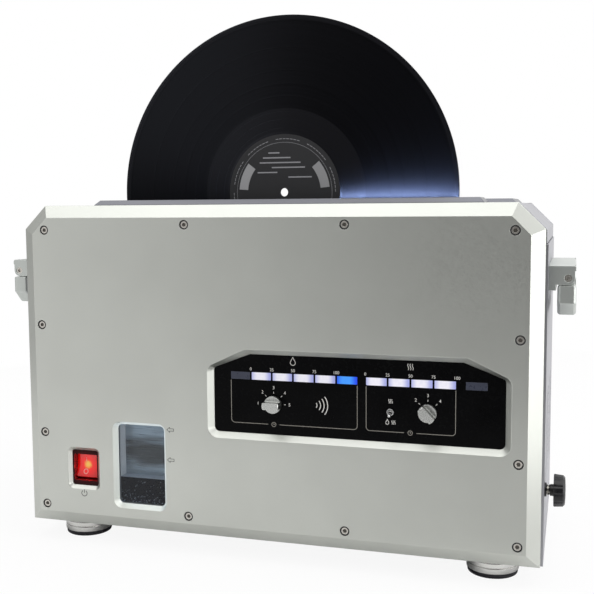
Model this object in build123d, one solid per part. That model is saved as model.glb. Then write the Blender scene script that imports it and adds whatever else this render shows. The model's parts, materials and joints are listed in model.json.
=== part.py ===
from build123d import *
import os
from math import cos, hypot, radians, sin, sqrt

# Record cleaning machine: an upright casing that washes a 12-inch record standing on edge in a slot,
# and then dries it with air.  Every length is in millimetres and every angle in degrees.
# Casing coordinates, used everywhere below: X runs from the middle plane to the right, Y from the
# front face backwards, Z from the underside of the casing upwards.  "place" moves a finished piece
# to the part's frame, whose origin lies on the floor under the middle of the whole machine.

# ---- casing ----
body_height = 281.4
body_depth = 213.0
front_plate = 10.0
rear_plate = 8.0
corner_cut = 20.25
edge_bevel_width = 10.5
edge_bevel_depth = 6.3
rear_bevel = 3.0
cover_sheet = 2.5
top_cover_drop = 0.4
top_cover_proud = 0.95
side_cover_proud = 1.95
cover_skirt = 10.45
cover_seam = 0.8
base_sheet = 4.0
rail_width = 20.7
rail_depth = 12.0
rail_notch_gap = 4.0

# ---- fits between pieces ----
seat_gap = 0.2
body_gap = 0.3
running_gap = 0.05

# ---- screws ----
screw_head_radius = 2.9
screw_head_height = 2.4
screw_seat_radius = 4.0
screw_seat_depth = 3.0
screw_shank_radius = 2.0
screw_length = 16.0
screw_socket_radius = 1.5
screw_socket_depth = 1.4
screw_side_inset = 17.15
screw_bottom_inset = 16.9
screw_top_inset = 16.5
screw_corner_inset_x = 21.95
screw_corner_inset_z = 21.0
screw_inner_x = 68.3
screw_upper_z = 177.5
screw_lower_z = 81.8

# ---- control window and fascia ----
control_gap = 39.0
control_side_gap = 22.75
control_bottom = 87.0
control_height = 75.6
control_cut_width = 33.8
control_cut_height = 15.8
control_radius = 9.0
control_shoulder_radius = 8.0
control_bevel = 4.6
window_depth = 5.0
window_land = 0.6
window_overlap = 3.5
fascia_sheet = 2.5
light_width = 16.6
light_height = 6.2
light_pitch = 18.19
light_rise = 52.8
light_proud = 0.3
light_left_gap = 19.53
light_right_gap = 18.56
light_row_step = 23.9
light_end_step = 24.29
lights_in_row = 4
board_depth = 21.0
board_sheet = 1.6
board_inset = 6.0
board_top_inset = 18.0
lamp_width = 12.0
lamp_height = 5.0

# ---- knobs and toggle ----
knob_rise = 30.0
washing_knob_offset = 10.6
drying_knob_offset = 41.2
drying_knob_turn = 45.0
knob_radius = 7.2
knob_height = 11.0
knob_skirt = 4.0
knob_grip = 5.6
knob_chamfer = 0.6
knob_gap = 0.4
pointer_length = 1.8
pointer_width = 1.0
pointer_depth = 0.8
spindle_radius = 3.0
spindle_hole_gap = 0.5
switch_size = 16.0
switch_end_gap = 2.0
toggle_offset = 11.5
toggle_rise = 29.1
toggle_ring_radius = 2.8
toggle_bore_radius = 2.0
toggle_ring_proud = 2.0
toggle_length = 8.5
toggle_tip_radius = 1.3
toggle_neck_radius = 0.8
toggle_ball_radius = 1.5
toggle_pin_radius = 0.7
toggle_tilt = 15.0
toggle_case_width = 8.0
toggle_case_height = 12.0

# ---- power switch ----
power_side_gap = 39.15
power_width = 31.0
power_bottom = 32.5
power_height = 37.5
power_bevel = 3.0
power_radius = 5.0
power_case_front = 3.6
power_case_back = 24.0
power_case_floor = 2.0
power_case_side = 1.8
power_case_end = 4.3
rocker_end_trim = 0.4
rocker_tilt = 9.0
rocker_pivot_depth = 13.0
rocker_pivot_radius = 1.5
rocker_middle = 4.2
rocker_dish = 1.6
rocker_back = 4.0

# ---- level window and reservoir ----
level_gap = 13.3
level_width = 49.7
level_bottom = 18.9
level_radius = 7.0
level_bevel = 3.2
pane_sheet = 3.0
gauge_depth = 11.0
gauge_sheet = 1.5
gauge_tube_inset = 12.0
gauge_tube_edge = 0.5
gauge_tube_radius = 4.0
gauge_tube_wall = 1.0
water_level = 44.6
reservoir_side_gap = 24.1
reservoir_reach = 12.5
reservoir_headroom = 16.7
reservoir_front = 48.0
reservoir_back = 150.0
reservoir_wall = 3.0

# ---- record ----
record_y = 63.3
record_rise = 10.4
record_radius = 150.75
record_half = 0.85
record_rim_half = 1.1
record_rim_width = 3.2
record_edge = 0.5
record_middle_half = 1.1
label_radius = 50.0
label_step = 2.0
label_sheet = 0.2
record_hole_radius = 3.62

# ---- slot and wash chamber ----
slot_end_gap = 7.25
slot_half_width = 12.0
slot_bevel = 2.0
surround_length_margin = 15.0
surround_width_margin = 9.3
surround_height = 5.0
surround_bevel = 4.0
liner_wall = 3.5
chamber_edge_gap = 23.25
chamber_half_depth = 15.0
chamber_wall = 3.0
liner_height = 10.5
flange_height = 4.0
flange_length_margin = 7.0
flange_width = 5.0
port_drop = 8.0
port_length = 20.0
return_x = -92.0
nozzle_inset = 0.75
nozzle_depth = 5.0
nozzle_height = 18.0
feed_height = 6.0
feed_length = 30.0
feed_pitch = 50.0
feed_count = 6

# ---- rollers and drive ----
roller_radius = 13.0
roller_root_radius = 9.0
roller_half_width = 7.0
roller_root_half = 1.7
roller_rim = 0.8
roller_chamfer = 1.0
drive_angle = 40.0
guide_angle = 72.0
drive_shaft_radius = 3.0
pin_radius = 2.5
motor_radius = 24.0
motor_length = 27.0
motor_chamfer = 1.5
motor_end = 5.0
motor_ear_reach = 9.0
motor_ear_width = 14.0
motor_ear_sheet = 2.0

# ---- transducers ----
transducer_side_step = 40.9
transducer_rise = 30.8
horn_radius = 22.0
stack_radius = 19.0
horn_length = 12.0
ceramic_length = 5.0
mass_length = 8.0

# ---- drying air ----
fan_x = 105.0
fan_drop = 83.5
fan_size = 80.0
fan_corner = 4.0
fan_length = 25.0
fan_wall = 2.5
fan_hole_inset = 4.25
fan_web = 3.0
fan_web_width = 5.0
fan_pin_radius = 1.5
fan_pin_end = 3.0
fan_hub_radius = 16.0
fan_blades = 7
fan_blade_sheet = 1.4
fan_blade_gap = 1.0
fan_blade_root = 1.5
fan_blade_chords = (20.0, 23.0, 26.0)
fan_blade_pitches = (50.0, 38.0, 28.0)
guard_sheet = 2.0
guard_wire = 1.8
guard_spoke = 3.2
guard_boss_radius = 14.0
guard_rings = 3
guard_ring_pitch = 8.0
guard_edge = 0.5
guard_eye_radius = 4.2
manifold_height = 18.0
manifold_margin = 15.0
manifold_end_gap = 1.0
manifold_reach = 16.0
duct_wall = 2.0
duct_half_length = 46.0
exhaust_side_gap = 26.25
exhaust_front_gap = 3.4
exhaust_back_gap = 25.0
exhaust_height = 4.0
exhaust_edge = 0.2
vent_front_inset = 26.0
vent_back_inset = 16.0
vent_slot = 4.0
vent_pitch = 14.0
vent_count = 21
vent_clearance = 1.0

# ---- water path ----
pump_z = 40.0
pump_inlet_length = 18.0
pump_head_length = 26.0
pump_head_radius = 24.0
pump_motor_radius = 20.0
pump_motor_length = 62.0
pump_side_port = 4.0
pump_top_port = 10.0
cradle_inset = 7.0
cradle_half_width = 16.0
pipe_radius = 5.0
pipe_bend = 8.0
pipe_overlap = 6.0
drain_run_y = 24.0
drain_run_right = 60.0
drain_turn_x = 150.0
valve_height = 20.6
valve_half_size = 12.0
valve_coil_radius = 8.0
valve_coil_length = 28.0
drain_y = 18.0
drain_z = 59.0
drain_body_length = 18.0
drain_neck_length = 15.2
drain_body_radius = 7.5
drain_seat = 6.0
drain_ring_radius = 5.4
drain_ring_show = 1.6
drain_stem_radius = 4.4
drain_stem_show = 2.6
drain_hub_radius = 4.6
drain_hub_length = 2.6
drain_head_radius = 12.5
drain_head_length = 9.0
drain_head_edge = 0.5
drain_head_slope = 2.0
drain_flutes = 12
drain_flute_radius = 2.4
drain_flute_offset = 1.7

# ---- electrics, louvres and rear ----
louvre_height = 2.6
louvre_pitch = 5.6
louvre_rows = 13
louvre_bottom = 57.0
louvre_front = 34.0
louvre_gap = 16.0
louvre_back_gap = 23.0
rear_louvre_half = 40.0
rear_louvre_height = 3.6
rear_louvre_pitch = 11.2
rear_louvre_rows = 5
rear_louvre_bottom = 60.0
supply_side_gap = 25.1
supply_back_gap = 25.0
supply_width = 125.0
supply_depth = 80.0
supply_height = 46.0
supply_sheet = 1.5
supply_slot = 3.0
supply_slot_pitch = 9.0
supply_slots = 11
supply_slot_inset = 18.0
driver_gap = 20.0
driver_width = 105.0
driver_depth = 60.0
driver_back_gap = 19.0
driver_lift = 8.0
driver_post_inset = 6.0
driver_post_radius = 3.0
sink_width = 63.0
sink_depth = 22.0
sink_height = 30.0
sink_foot = 5.0
sink_fin_pitch = 2.6
sink_fins = 8
coil_size = 22.0
coil_height = 22.0
capacitor_radius = 9.0
capacitor_height = 24.0
capacitor_pitch = 24.0
capacitor_count = 2
part_inset = 12.0
inlet_side_gap = 56.65
inlet_z = 42.0
inlet_width = 27.0
inlet_height = 20.0
inlet_corner = 2.0
inlet_flange_width = 50.0
inlet_flange_height = 24.0
inlet_flange_radius = 3.0
inlet_flange = 2.5
inlet_depth = 24.0
socket_half_width = 12.0
socket_half_height = 8.0
socket_cut = 5.0
socket_depth = 16.0
blade_places = ((-7.0, 0.0), (7.0, 0.0), (0.0, 4.0))
blade_half_width = 1.0
blade_half_height = 2.0
blade_sink = 3.0

# ---- handles ----
handle_front = 20.0
handle_length = 118.0
handle_drop = 48.4
handle_lid = 4.0
handle_lid_overhang = 0.7
handle_lid_chamfer = 1.0
handle_wall = 5.7
handle_wall_height = 19.0
cheek_length = 8.0
cheek_reach = 19.7
cheek_round = 5.1
cheek_round_trim = 0.05
handle_pin_drop = 9.5
handle_pin_radius = 2.0
handle_pin_sink = 0.4
bail_wall_gap = 1.0
bail_thickness = 14.0
bail_gap = 0.5
bail_height = 23.3
bail_bevel = 9.5
bail_bar = 9.0
bail_arm = 18.0
bail_round = 2.5
lug_radius = 4.5
lug_width = 8.0
lug_root = 6.0

# ---- feet ----
foot_height = 17.0
foot_radius = 21.0
foot_inset_x = 38.35
foot_inset_y = 37.0
foot_edge = 0.6
foot_pad_height = 3.6
foot_pad_radius = 20.2
foot_pad_chamfer = 0.8
foot_groove = 0.8
foot_groove_heights = (8.6, 12.8)

# ---- sizes that follow from the ones above ----
# The casing is as wide as the row of windows across its front: switch, level window and controls.
light_row = (lights_in_row + 1 + lights_in_row - 1) * light_pitch
control_width = (light_left_gap + light_width + light_row + light_row_step + light_end_step + light_right_gap)
body_width = (power_side_gap + power_width + level_gap + level_width + control_gap + control_width
              + control_side_gap)
half_width = body_width / 2
frame_back = body_depth - rear_plate
cover_half = half_width + side_cover_proud
sheet_half = half_width + top_cover_proud
inner_half = sheet_half - cover_sheet
cover_top = body_height - top_cover_drop
inner_top = cover_top - cover_sheet
inner_cut = corner_cut - cover_sheet * (2 - sqrt(2))
skirt_bottom = cover_top - corner_cut - cover_skirt
side_cover_height = skirt_bottom - cover_seam

power_left = power_side_gap - half_width
power_right = power_left + power_width
power_top = power_bottom + power_height
rocker_width = power_width - 2 * (power_bevel + power_case_side)
rocker_radius = power_height / 2 - power_bevel - power_case_end
rocker_reach = rocker_radius - rocker_end_trim
level_left = power_right + level_gap
level_right = level_left + level_width
control_left = level_right + control_gap
control_right = control_left + control_width
control_top = control_bottom + control_height
idle_left_x = control_left + light_left_gap + light_width / 2
washing_light_x = idle_left_x + light_pitch
draining_light_x = washing_light_x + lights_in_row * light_pitch
drying_light_x = draining_light_x + light_row_step
idle_right_x = drying_light_x + (lights_in_row - 1) * light_pitch + light_end_step
light_z = control_bottom + light_rise
knob_z = control_bottom + knob_rise
washing_knob_x = washing_light_x + washing_knob_offset
drying_knob_x = drying_light_x + drying_knob_offset
toggle_x = drying_light_x + toggle_offset
toggle_z = control_bottom + toggle_rise
fascia_front = window_depth + window_land
fascia_back = fascia_front + fascia_sheet
pane_back = fascia_front + pane_sheet

record_z = body_height + record_rise
chamber_radius = record_radius + chamber_edge_gap
chamber_outer = chamber_radius + chamber_wall
chamber_outer_half = chamber_half_depth + chamber_wall
chamber_front = record_y - chamber_outer_half
chamber_back = record_y + chamber_outer_half
chamber_top = inner_top - liner_height
flange_half_length = chamber_outer + flange_length_margin
slot_half_length = record_radius + slot_end_gap
surround_half_length = slot_half_length + surround_length_margin
surround_half_width = slot_half_width + surround_width_margin
nozzle_half_length = record_radius - nozzle_inset
manifold_top = chamber_top - flange_height
manifold_bottom = manifold_top - manifold_height
manifold_half_length = chamber_outer + manifold_margin
manifold_inner = chamber_outer + manifold_end_gap
fan_z = inner_top - fan_drop
fan_bore_radius = fan_size / 2 - fan_wall
fan_hole_pitch = fan_size - 2 * fan_hole_inset
exhaust_half_length = half_width - exhaust_side_gap
exhaust_front = record_y + surround_half_width + exhaust_front_gap
exhaust_back = frame_back - exhaust_back_gap
vent_front = exhaust_front + vent_front_inset
vent_back = exhaust_back - vent_back_inset

reservoir_left = reservoir_side_gap - inner_half
reservoir_right = level_right + reservoir_reach
reservoir_top = record_z - sqrt(chamber_outer ** 2 - return_x ** 2) - port_drop - valve_height
level_top = reservoir_top - reservoir_headroom
pump_y = record_y
pump_head_left = reservoir_right + pump_inlet_length
pump_port_x = pump_head_left + pump_head_length / 2
drain_shoulder = cover_half + drain_ring_show - drain_neck_length
drain_body_left = drain_shoulder - drain_body_length
louvre_length = (frame_back - louvre_back_gap - louvre_front - louvre_gap) / 2
supply_right = inner_half - supply_side_gap
supply_left = supply_right - supply_width
supply_back = frame_back - supply_back_gap
supply_front = supply_back - supply_depth
driver_right = supply_left - driver_gap
driver_left = driver_right - driver_width
driver_back = frame_back - driver_back_gap
driver_front = driver_back - driver_depth
inlet_x = half_width - inlet_side_gap

handle_back = handle_front + handle_length
handle_top = body_height - handle_drop
handle_wall_outer = cover_half + handle_wall
cheek_outer = cover_half + cheek_reach
handle_lid_outer = cheek_outer + handle_lid_overhang
handle_pin_x = cheek_outer - cheek_round
handle_pin_z = handle_top - handle_pin_drop
bail_inner = handle_wall_outer + bail_wall_gap
bail_outer = bail_inner + bail_thickness
bail_top = handle_pin_z - cheek_round - bail_gap
bail_bottom = bail_top - bail_height
handle_lugs = (handle_front + cheek_length + body_gap,
               handle_back - cheek_length - body_gap - lug_width)
foot_x = half_width - foot_inset_x
front_reach = knob_height + knob_gap - fascia_front
rear_reach = guard_sheet + screw_head_height
place = Pos(0, (front_reach - rear_reach - body_depth) / 2, foot_height)

os.makedirs("parts", exist_ok=True)


def save(name, *shapes):
    """Write one piece, or one set of like pieces, as a STEP file in the part's frame."""
    solids = [place * solid for shape in shapes for solid in shape.solids()]
    shape = solids[0] if len(solids) == 1 else Compound(children=solids)
    export_step(shape, "parts/" + name + ".step")


def front_view(depth):
    """Plane for an outline seen from the front, at a depth behind the front face."""
    return Plane(origin=(0, depth, 0), x_dir=(1, 0, 0), z_dir=(0, -1, 0))


def slab(profile, start, end):
    """Front-view outline filled between two depths, given in either order."""
    near, far = sorted((start, end))
    return extrude(front_view(far) * profile, far - near)


def side_slab(profile, left, right):
    """Outline drawn in Y and Z, filled between two X positions."""
    return extrude(Plane(origin=(left, 0, 0), x_dir=(0, 1, 0), z_dir=(1, 0, 0)) * profile, right - left)


def block(left, right, front, back, bottom, top):
    middle = Pos((left + right) / 2, (front + back) / 2, (bottom + top) / 2)
    return middle * Box(right - left, back - front, top - bottom)


def rod(x, z, start, end, radius):
    """Round bar along Y between two depths, given in either order."""
    return Pos(x, (start + end) / 2, z) * Rot(90, 0, 0) * Cylinder(radius, abs(end - start))


def cross_rod(y, z, left, right, radius):
    """Round bar along X."""
    return Pos((left + right) / 2, y, z) * Rot(0, 90, 0) * Cylinder(radius, right - left)


def post(x, y, bottom, top, radius):
    """Round bar along Z."""
    return Pos(x, y, (bottom + top) / 2) * Cylinder(radius, top - bottom)


def outline(*points):
    return make_face(Polyline(*points, close=True))


def turned(*points):
    """Solid of revolution about Z from (radius, height) points."""
    return revolve(Plane.XZ * outline(*points), Axis.Z)


def rectangle(left, right, bottom, top, radius=0.0):
    face = Pos((left + right) / 2, (bottom + top) / 2) * Rectangle(right - left, top - bottom)
    return fillet(face.vertices(), radius) if radius else face


def casing_outline(half, top, cut, inset=0.0, bottom=0.0):
    """Front view of the casing: a rectangle whose two upper corners are cut at 45 degrees."""
    mitre = inset * (sqrt(2) - 1)
    side = half - inset
    crown = top - inset
    shoulder = top - cut - mitre
    crown_x = half - cut - mitre
    return outline((-side, bottom + inset), (side, bottom + inset), (side, shoulder),
                   (crown_x, crown), (-crown_x, crown), (-side, shoulder))


def control_outline(grow=0.0):
    """Control window: its upper corners cut off at a slant, the four corners at its sides rounded."""
    slope = hypot(control_cut_width, control_cut_height)
    side_mitre = grow * (slope - control_cut_width) / control_cut_height
    top_mitre = grow * (slope - control_cut_height) / control_cut_width
    left = control_left - grow
    right = control_right + grow
    top = control_top + grow
    bottom = control_bottom - grow
    shoulder = control_top - control_cut_height + side_mitre
    crown_left = control_left + control_cut_width - top_mitre
    crown_right = control_right - control_cut_width + top_mitre
    face = outline((left, bottom), (right, bottom), (right, shoulder), (crown_right, top),
                   (crown_left, top), (left, shoulder))
    face = fillet(face.vertices().sort_by(Axis.Y)[:2], control_radius + grow)
    return fillet(face.vertices().sort_by(Axis.Y)[4:6], control_shoulder_radius + grow)


def level_outline(grow=0.0):
    return rectangle(level_left - grow, level_right + grow, level_bottom - grow, level_top + grow,
                     level_radius + grow)


def power_outline(grow=0.0):
    return rectangle(power_left - grow, power_right + grow, power_bottom - grow, power_top + grow,
                     power_radius + grow)


def sloping_hole(shape, bevel, depth):
    """Tool for a window in the front plate whose front edge slopes inwards all round."""
    mouth = loft([front_view(0) * shape(0), front_view(depth) * shape(-bevel)], ruled=True)
    return mouth + slab(shape(-bevel), depth, front_plate)


def tapered_block(half_x, half_y, y, bottom, top, bevel):
    """Four-sided block, smaller by the bevel on every side at its second height."""
    low = Pos(0, y, bottom) * Rectangle(2 * half_x, 2 * half_y)
    high = Pos(0, y, top) * Rectangle(2 * (half_x - bevel), 2 * (half_y - bevel))
    return loft([low, high], ruled=True)


def panel_screw_places():
    corner = (half_width - screw_corner_inset_x, body_height - screw_corner_inset_z)
    side_x = half_width - screw_side_inset
    places = [corner, (screw_inner_x, body_height - screw_top_inset), (side_x, screw_upper_z),
              (side_x, screw_lower_z), (side_x, screw_bottom_inset), (screw_inner_x, screw_bottom_inset)]
    return [(side * x, z) for x, z in places for side in (-1, 1)]


def hex_screw(x, z, under, inward):
    """Socket-head screw whose head sits on the depth "under"; inward is +1 or -1 along Y."""
    top = under - inward * screw_head_height
    hexagon = Pos(x, z) * RegularPolygon(screw_socket_radius, 6, major_radius=False)
    screw = rod(x, z, top, under, screw_head_radius)
    screw += rod(x, z, under, under + inward * screw_length, screw_shank_radius)
    return screw - slab(hexagon, top, top + inward * screw_socket_depth)


def screw_holes(face, inward):
    """Counterbores and shank holes for the panel screws, from a panel's outer face inwards."""
    seat = face + inward * screw_seat_depth
    holes = [rod(x, z, face, seat, screw_seat_radius) for x, z in panel_screw_places()]
    return holes + [rod(x, z, seat, seat + inward * screw_length, screw_shank_radius)
                    for x, z in panel_screw_places()]


# ---------------------------------------------------------------- casing
def front_panel():
    face = casing_outline(half_width, body_height, corner_cut, edge_bevel_width)
    edge = casing_outline(half_width, body_height, corner_cut)
    panel = loft([front_view(0) * face, front_view(edge_bevel_depth) * edge], ruled=True)
    panel += slab(edge, edge_bevel_depth, front_plate)
    for shape, bevel in ((control_outline, control_bevel), (level_outline, level_bevel)):
        panel -= sloping_hole(shape, bevel, window_depth)
        panel -= slab(shape(window_overlap - bevel + seat_gap), fascia_front, front_plate)
    panel -= sloping_hole(power_outline, power_bevel, power_bevel)
    return panel - screw_holes(0, 1)


def rear_panel():
    edge = casing_outline(sheet_half, body_height, corner_cut)
    face = casing_outline(sheet_half, body_height, corner_cut, rear_bevel)
    panel = slab(edge, frame_back, body_depth - rear_bevel)
    panel += loft([front_view(body_depth - rear_bevel) * edge, front_view(body_depth) * face], ruled=True)
    for x in (-fan_x, fan_x):
        panel -= rod(x, fan_z, frame_back, body_depth, fan_bore_radius)
        panel -= fan_screw_holes(x, frame_back, body_depth)
    panel -= slab(inlet_outline(), frame_back, body_depth)
    for row in range(rear_louvre_rows):
        z = rear_louvre_bottom + row * rear_louvre_pitch
        panel -= block(-rear_louvre_half, rear_louvre_half, frame_back, body_depth, z, z + rear_louvre_height)
    return panel - screw_holes(body_depth, -1)


def chassis_rails():
    """Square bars behind both panels; the panels, the covers and the base plate screw into them."""
    inside = inner_half - rail_width
    under_top = inner_top - rail_width
    top_rail = casing_outline(inner_half, inner_top, inner_cut) & rectangle(
        -inner_half, inner_half, under_top, inner_top)
    bottom_rail = rectangle(-inside, inside, base_sheet, base_sheet + rail_width)
    left_post = rectangle(-inner_half, -inside, base_sheet, under_top)
    right_post = rectangle(inside, inner_half, base_sheet, under_top)
    bars = [left_post, right_post, top_rail, bottom_rail]
    front = [slab(bar, front_plate, front_plate + rail_depth) for bar in bars]
    rear = [slab(bar, frame_back - rail_depth, frame_back) for bar in bars]
    gauge_notch = block(level_left - rail_notch_gap, level_right + rail_notch_gap, front_plate, frame_back,
                        base_sheet, level_top)
    valve_notch = cross_block(drain_body_left, inner_half, drain_body_radius + body_gap)
    front = [bar - gauge_notch - valve_notch - screw_holes(0, 1) for bar in front]
    return front + [bar - screw_holes(body_depth, -1) for bar in rear]


def cross_block(left, right, half):
    """Square clearance along X round the drain valve, open to the front plate."""
    return block(left, right, front_plate, drain_y + half, drain_z - half, drain_z + half)


def base_plate():
    return block(-inner_half, inner_half, front_plate, frame_back, 0, base_sheet)


def vent_centres():
    first = -(vent_count - 1) / 2 * vent_pitch
    return [first + index * vent_pitch for index in range(vent_count)]


def top_cover():
    """Folded sheet: the top, the two slanting facets and a short skirt down each side."""
    outer = casing_outline(sheet_half, cover_top, corner_cut, bottom=skirt_bottom)
    inner = casing_outline(inner_half, inner_top, inner_cut, bottom=skirt_bottom)
    cover = slab(outer, front_plate, frame_back) - slab(inner, front_plate, frame_back)
    half_x = slot_half_length + liner_wall
    half_y = slot_half_width + liner_wall
    cover -= block(-half_x, half_x, record_y - half_y, record_y + half_y, inner_top, cover_top)
    half = vent_slot / 2 + vent_clearance
    return cover - [block(x - half, x + half, vent_front, vent_back, inner_top, cover_top)
                    for x in vent_centres()]


def side_cover(side):
    left, right = sorted((side * inner_half, side * cover_half))
    cover = block(left, right, front_plate, frame_back, 0, side_cover_height)
    rows = [louvre_bottom + row * louvre_pitch for row in range(louvre_rows)]
    for y in (louvre_front, louvre_front + louvre_length + louvre_gap):
        cover -= [block(left, right, y, y + louvre_length, z, z + louvre_height) for z in rows]
    if side > 0:
        cover -= cross_rod(drain_y, drain_z, left, right, drain_ring_radius)
    return cover


def foot(x, y):
    """Turned metal foot with two thin grooves round it."""
    bottom = foot_pad_height - foot_height
    profile = [(0, bottom), (foot_radius - foot_edge, bottom), (foot_radius, bottom + foot_edge)]
    for height in foot_groove_heights:
        middle = height - foot_height
        profile += [(foot_radius, middle - foot_groove / 2), (foot_radius - foot_groove, middle),
                    (foot_radius, middle + foot_groove / 2)]
    profile += [(foot_radius, -foot_edge), (foot_radius - foot_edge, 0), (0, 0)]
    return Pos(x, y, 0) * turned(*profile)


def foot_pad(x, y):
    pad = post(x, y, -foot_height, foot_pad_height - foot_height, foot_pad_radius)
    return chamfer(pad.edges().group_by(Axis.Z)[0], foot_pad_chamfer)


# ---------------------------------------------------------------- slot and top
def slot_surround():
    """Raised rim of the slot, its outer sides sloping and its mouth eased."""
    top = cover_top + surround_height
    waist = top - surround_bevel
    rim = block(-surround_half_length, surround_half_length, record_y - surround_half_width,
                record_y + surround_half_width, cover_top, waist)
    rim += tapered_block(surround_half_length, surround_half_width, record_y, waist, top, surround_bevel)
    rim -= block(-slot_half_length, slot_half_length, record_y - slot_half_width,
                 record_y + slot_half_width, cover_top, top)
    return rim - tapered_block(slot_half_length + slot_bevel, slot_half_width + slot_bevel, record_y, top,
                               top - slot_bevel, slot_bevel)


def slot_liner():
    half_x = slot_half_length + liner_wall
    half_y = slot_half_width + liner_wall
    collar = block(-half_x, half_x, record_y - half_y, record_y + half_y, chamber_top, cover_top)
    return collar - block(-slot_half_length, slot_half_length, record_y - slot_half_width,
                          record_y + slot_half_width, chamber_top, cover_top)


def exhaust_cover():
    """Raised plate behind the slot, with a row of slots that let the moist air out."""
    half_y = (exhaust_back - exhaust_front) / 2
    edge = cover_top + exhaust_edge
    middle = (exhaust_front + exhaust_back) / 2
    plate = block(-exhaust_half_length, exhaust_half_length, exhaust_front, exhaust_back, cover_top, edge)
    plate += tapered_block(exhaust_half_length, half_y, middle, edge, cover_top + exhaust_height,
                           exhaust_height - exhaust_edge)
    middle = (vent_front + vent_back) / 2
    cells = [Pos(x, middle) * SlotOverall(vent_back - vent_front, vent_slot, rotation=90)
             for x in vent_centres()]
    return plate - [extrude(Pos(0, 0, cover_top) * cell, exhaust_height) for cell in cells]


# ---------------------------------------------------------------- front controls
def progress_light_centres():
    return [start + index * light_pitch for start in (washing_light_x, drying_light_x)
            for index in range(lights_in_row)]


def all_light_centres():
    return progress_light_centres() + [draining_light_x, idle_left_x, idle_right_x]


def light_slab(x, front, back):
    return slab(rectangle(x - light_width / 2, x + light_width / 2, light_z - light_height / 2,
                          light_z + light_height / 2), front, back)


def light_lens(x):
    return light_slab(x, fascia_front - light_proud, fascia_back)


def control_fascia():
    plate = slab(control_outline(window_overlap - control_bevel), fascia_front, fascia_back)
    plate -= [light_slab(x, fascia_front, fascia_back) for x in all_light_centres()]
    plate -= [rod(x, knob_z, fascia_front, fascia_back, spindle_radius + spindle_hole_gap)
              for x in (washing_knob_x, drying_knob_x)]
    return plate - rod(toggle_x, toggle_z, fascia_front, fascia_back, toggle_ring_radius)


def control_board():
    """Circuit board behind the fascia, with two rotary switches, the toggle's case and the lamps."""
    solids = [block(control_left + board_inset, control_right - board_inset, board_depth,
                    board_depth + board_sheet, control_bottom + board_inset, control_top - board_top_inset)]
    half = switch_size / 2
    for x in (washing_knob_x, drying_knob_x):
        case = block(x - half, x + half, fascia_back, board_depth, knob_z - half, knob_z + half)
        solids.append(case - rod(x, knob_z, fascia_back, board_depth - switch_end_gap,
                                 spindle_radius + running_gap))
    solids.append(block(toggle_x - toggle_case_width / 2, toggle_x + toggle_case_width / 2, fascia_back,
                        board_depth, toggle_z - toggle_case_height / 2, toggle_z + toggle_case_height / 2))
    solids += [block(x - lamp_width / 2, x + lamp_width / 2, fascia_back, board_depth,
                     light_z - lamp_height / 2, light_z + lamp_height / 2) for x in all_light_centres()]
    return solids


def rotary_knob(x, turn):
    """Round knob with a bar grip across it, and the spindle it turns."""
    back = fascia_front - knob_gap
    front = back - knob_height
    knob = rod(0, 0, front, back, knob_radius)
    knob = chamfer(knob.edges().group_by(Axis.Y)[0], knob_chamfer)
    beside_grip = block(-knob_radius, knob_radius, front, back - knob_skirt, knob_grip / 2, knob_radius)
    knob -= [beside_grip, mirror(beside_grip, Plane.XY)]
    knob -= block(-knob_radius, pointer_length - knob_radius, front, front + pointer_depth,
                  -pointer_width / 2, pointer_width / 2)
    knob += rod(0, 0, back, board_depth - switch_end_gap - body_gap, spindle_radius)
    return Pos(x, 0, knob_z) * Rot(0, turn, 0) * knob


def toggle_bushing():
    front = fascia_front - toggle_ring_proud
    return rod(toggle_x, toggle_z, front, fascia_back, toggle_ring_radius) - rod(
        toggle_x, toggle_z, front, fascia_back, toggle_bore_radius)


def toggle_lever():
    """Bat lever: a ball and cross pin at the pivot, a thin neck and a rounded thicker end."""
    tip = toggle_length - toggle_tip_radius
    bat = loft([Circle(toggle_neck_radius), Pos(0, 0, tip) * Circle(toggle_tip_radius)])
    bat += Pos(0, 0, tip) * Sphere(toggle_tip_radius)
    bat += Sphere(toggle_ball_radius)
    reach = sqrt(toggle_bore_radius ** 2 - toggle_pin_radius ** 2) - running_gap
    bat += cross_rod(0, 0, -reach, reach, toggle_pin_radius)
    return Pos(toggle_x, fascia_front, toggle_z) * Rot(90 + toggle_tilt, 0, 0) * bat


def rocker_centre():
    return (power_left + power_right) / 2, (power_bottom + power_top) / 2


def power_case():
    """Switch body set in the front plate, with a well for the rocker and the pin it tilts on."""
    x, z = rocker_centre()
    half = rocker_width / 2 + seat_gap
    well = rocker_radius + seat_gap
    case = slab(power_outline(-power_bevel), power_case_front, power_case_back)
    case -= block(x - half, x + half, power_case_front, power_case_back - power_case_floor,
                  z - well, z + well)
    return case + cross_rod(rocker_pivot_depth, z, x - half, x + half, rocker_pivot_radius)


def power_rocker():
    """Seesaw button: shallow dished face, round ends centred on the pivot."""
    x, z = rocker_centre()
    end = -rocker_middle - rocker_dish
    face = outline((end, -rocker_reach), (-rocker_middle, 0), (end, rocker_reach),
                   (rocker_back, rocker_reach), (rocker_back, -rocker_reach))
    rocker = side_slab(face & Circle(rocker_radius), -rocker_width / 2, rocker_width / 2)
    rocker -= cross_rod(0, 0, -rocker_width, rocker_width, rocker_pivot_radius + running_gap)
    return Pos(x, rocker_pivot_depth, z) * Rot(-rocker_tilt, 0, 0) * rocker


# ---------------------------------------------------------------- level window and reservoir
def level_pane():
    return slab(level_outline(window_overlap - level_bevel), fascia_front, pane_back)


def gauge_tube_places():
    """The lower tube stands in the water; the upper one lets the air out, close under the tray's top."""
    x = (level_left + level_right) / 2
    tray_top = level_top - level_bevel
    return [(x, level_bottom + gauge_tube_inset), (x, tray_top - gauge_tube_edge - gauge_tube_radius)]


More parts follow.
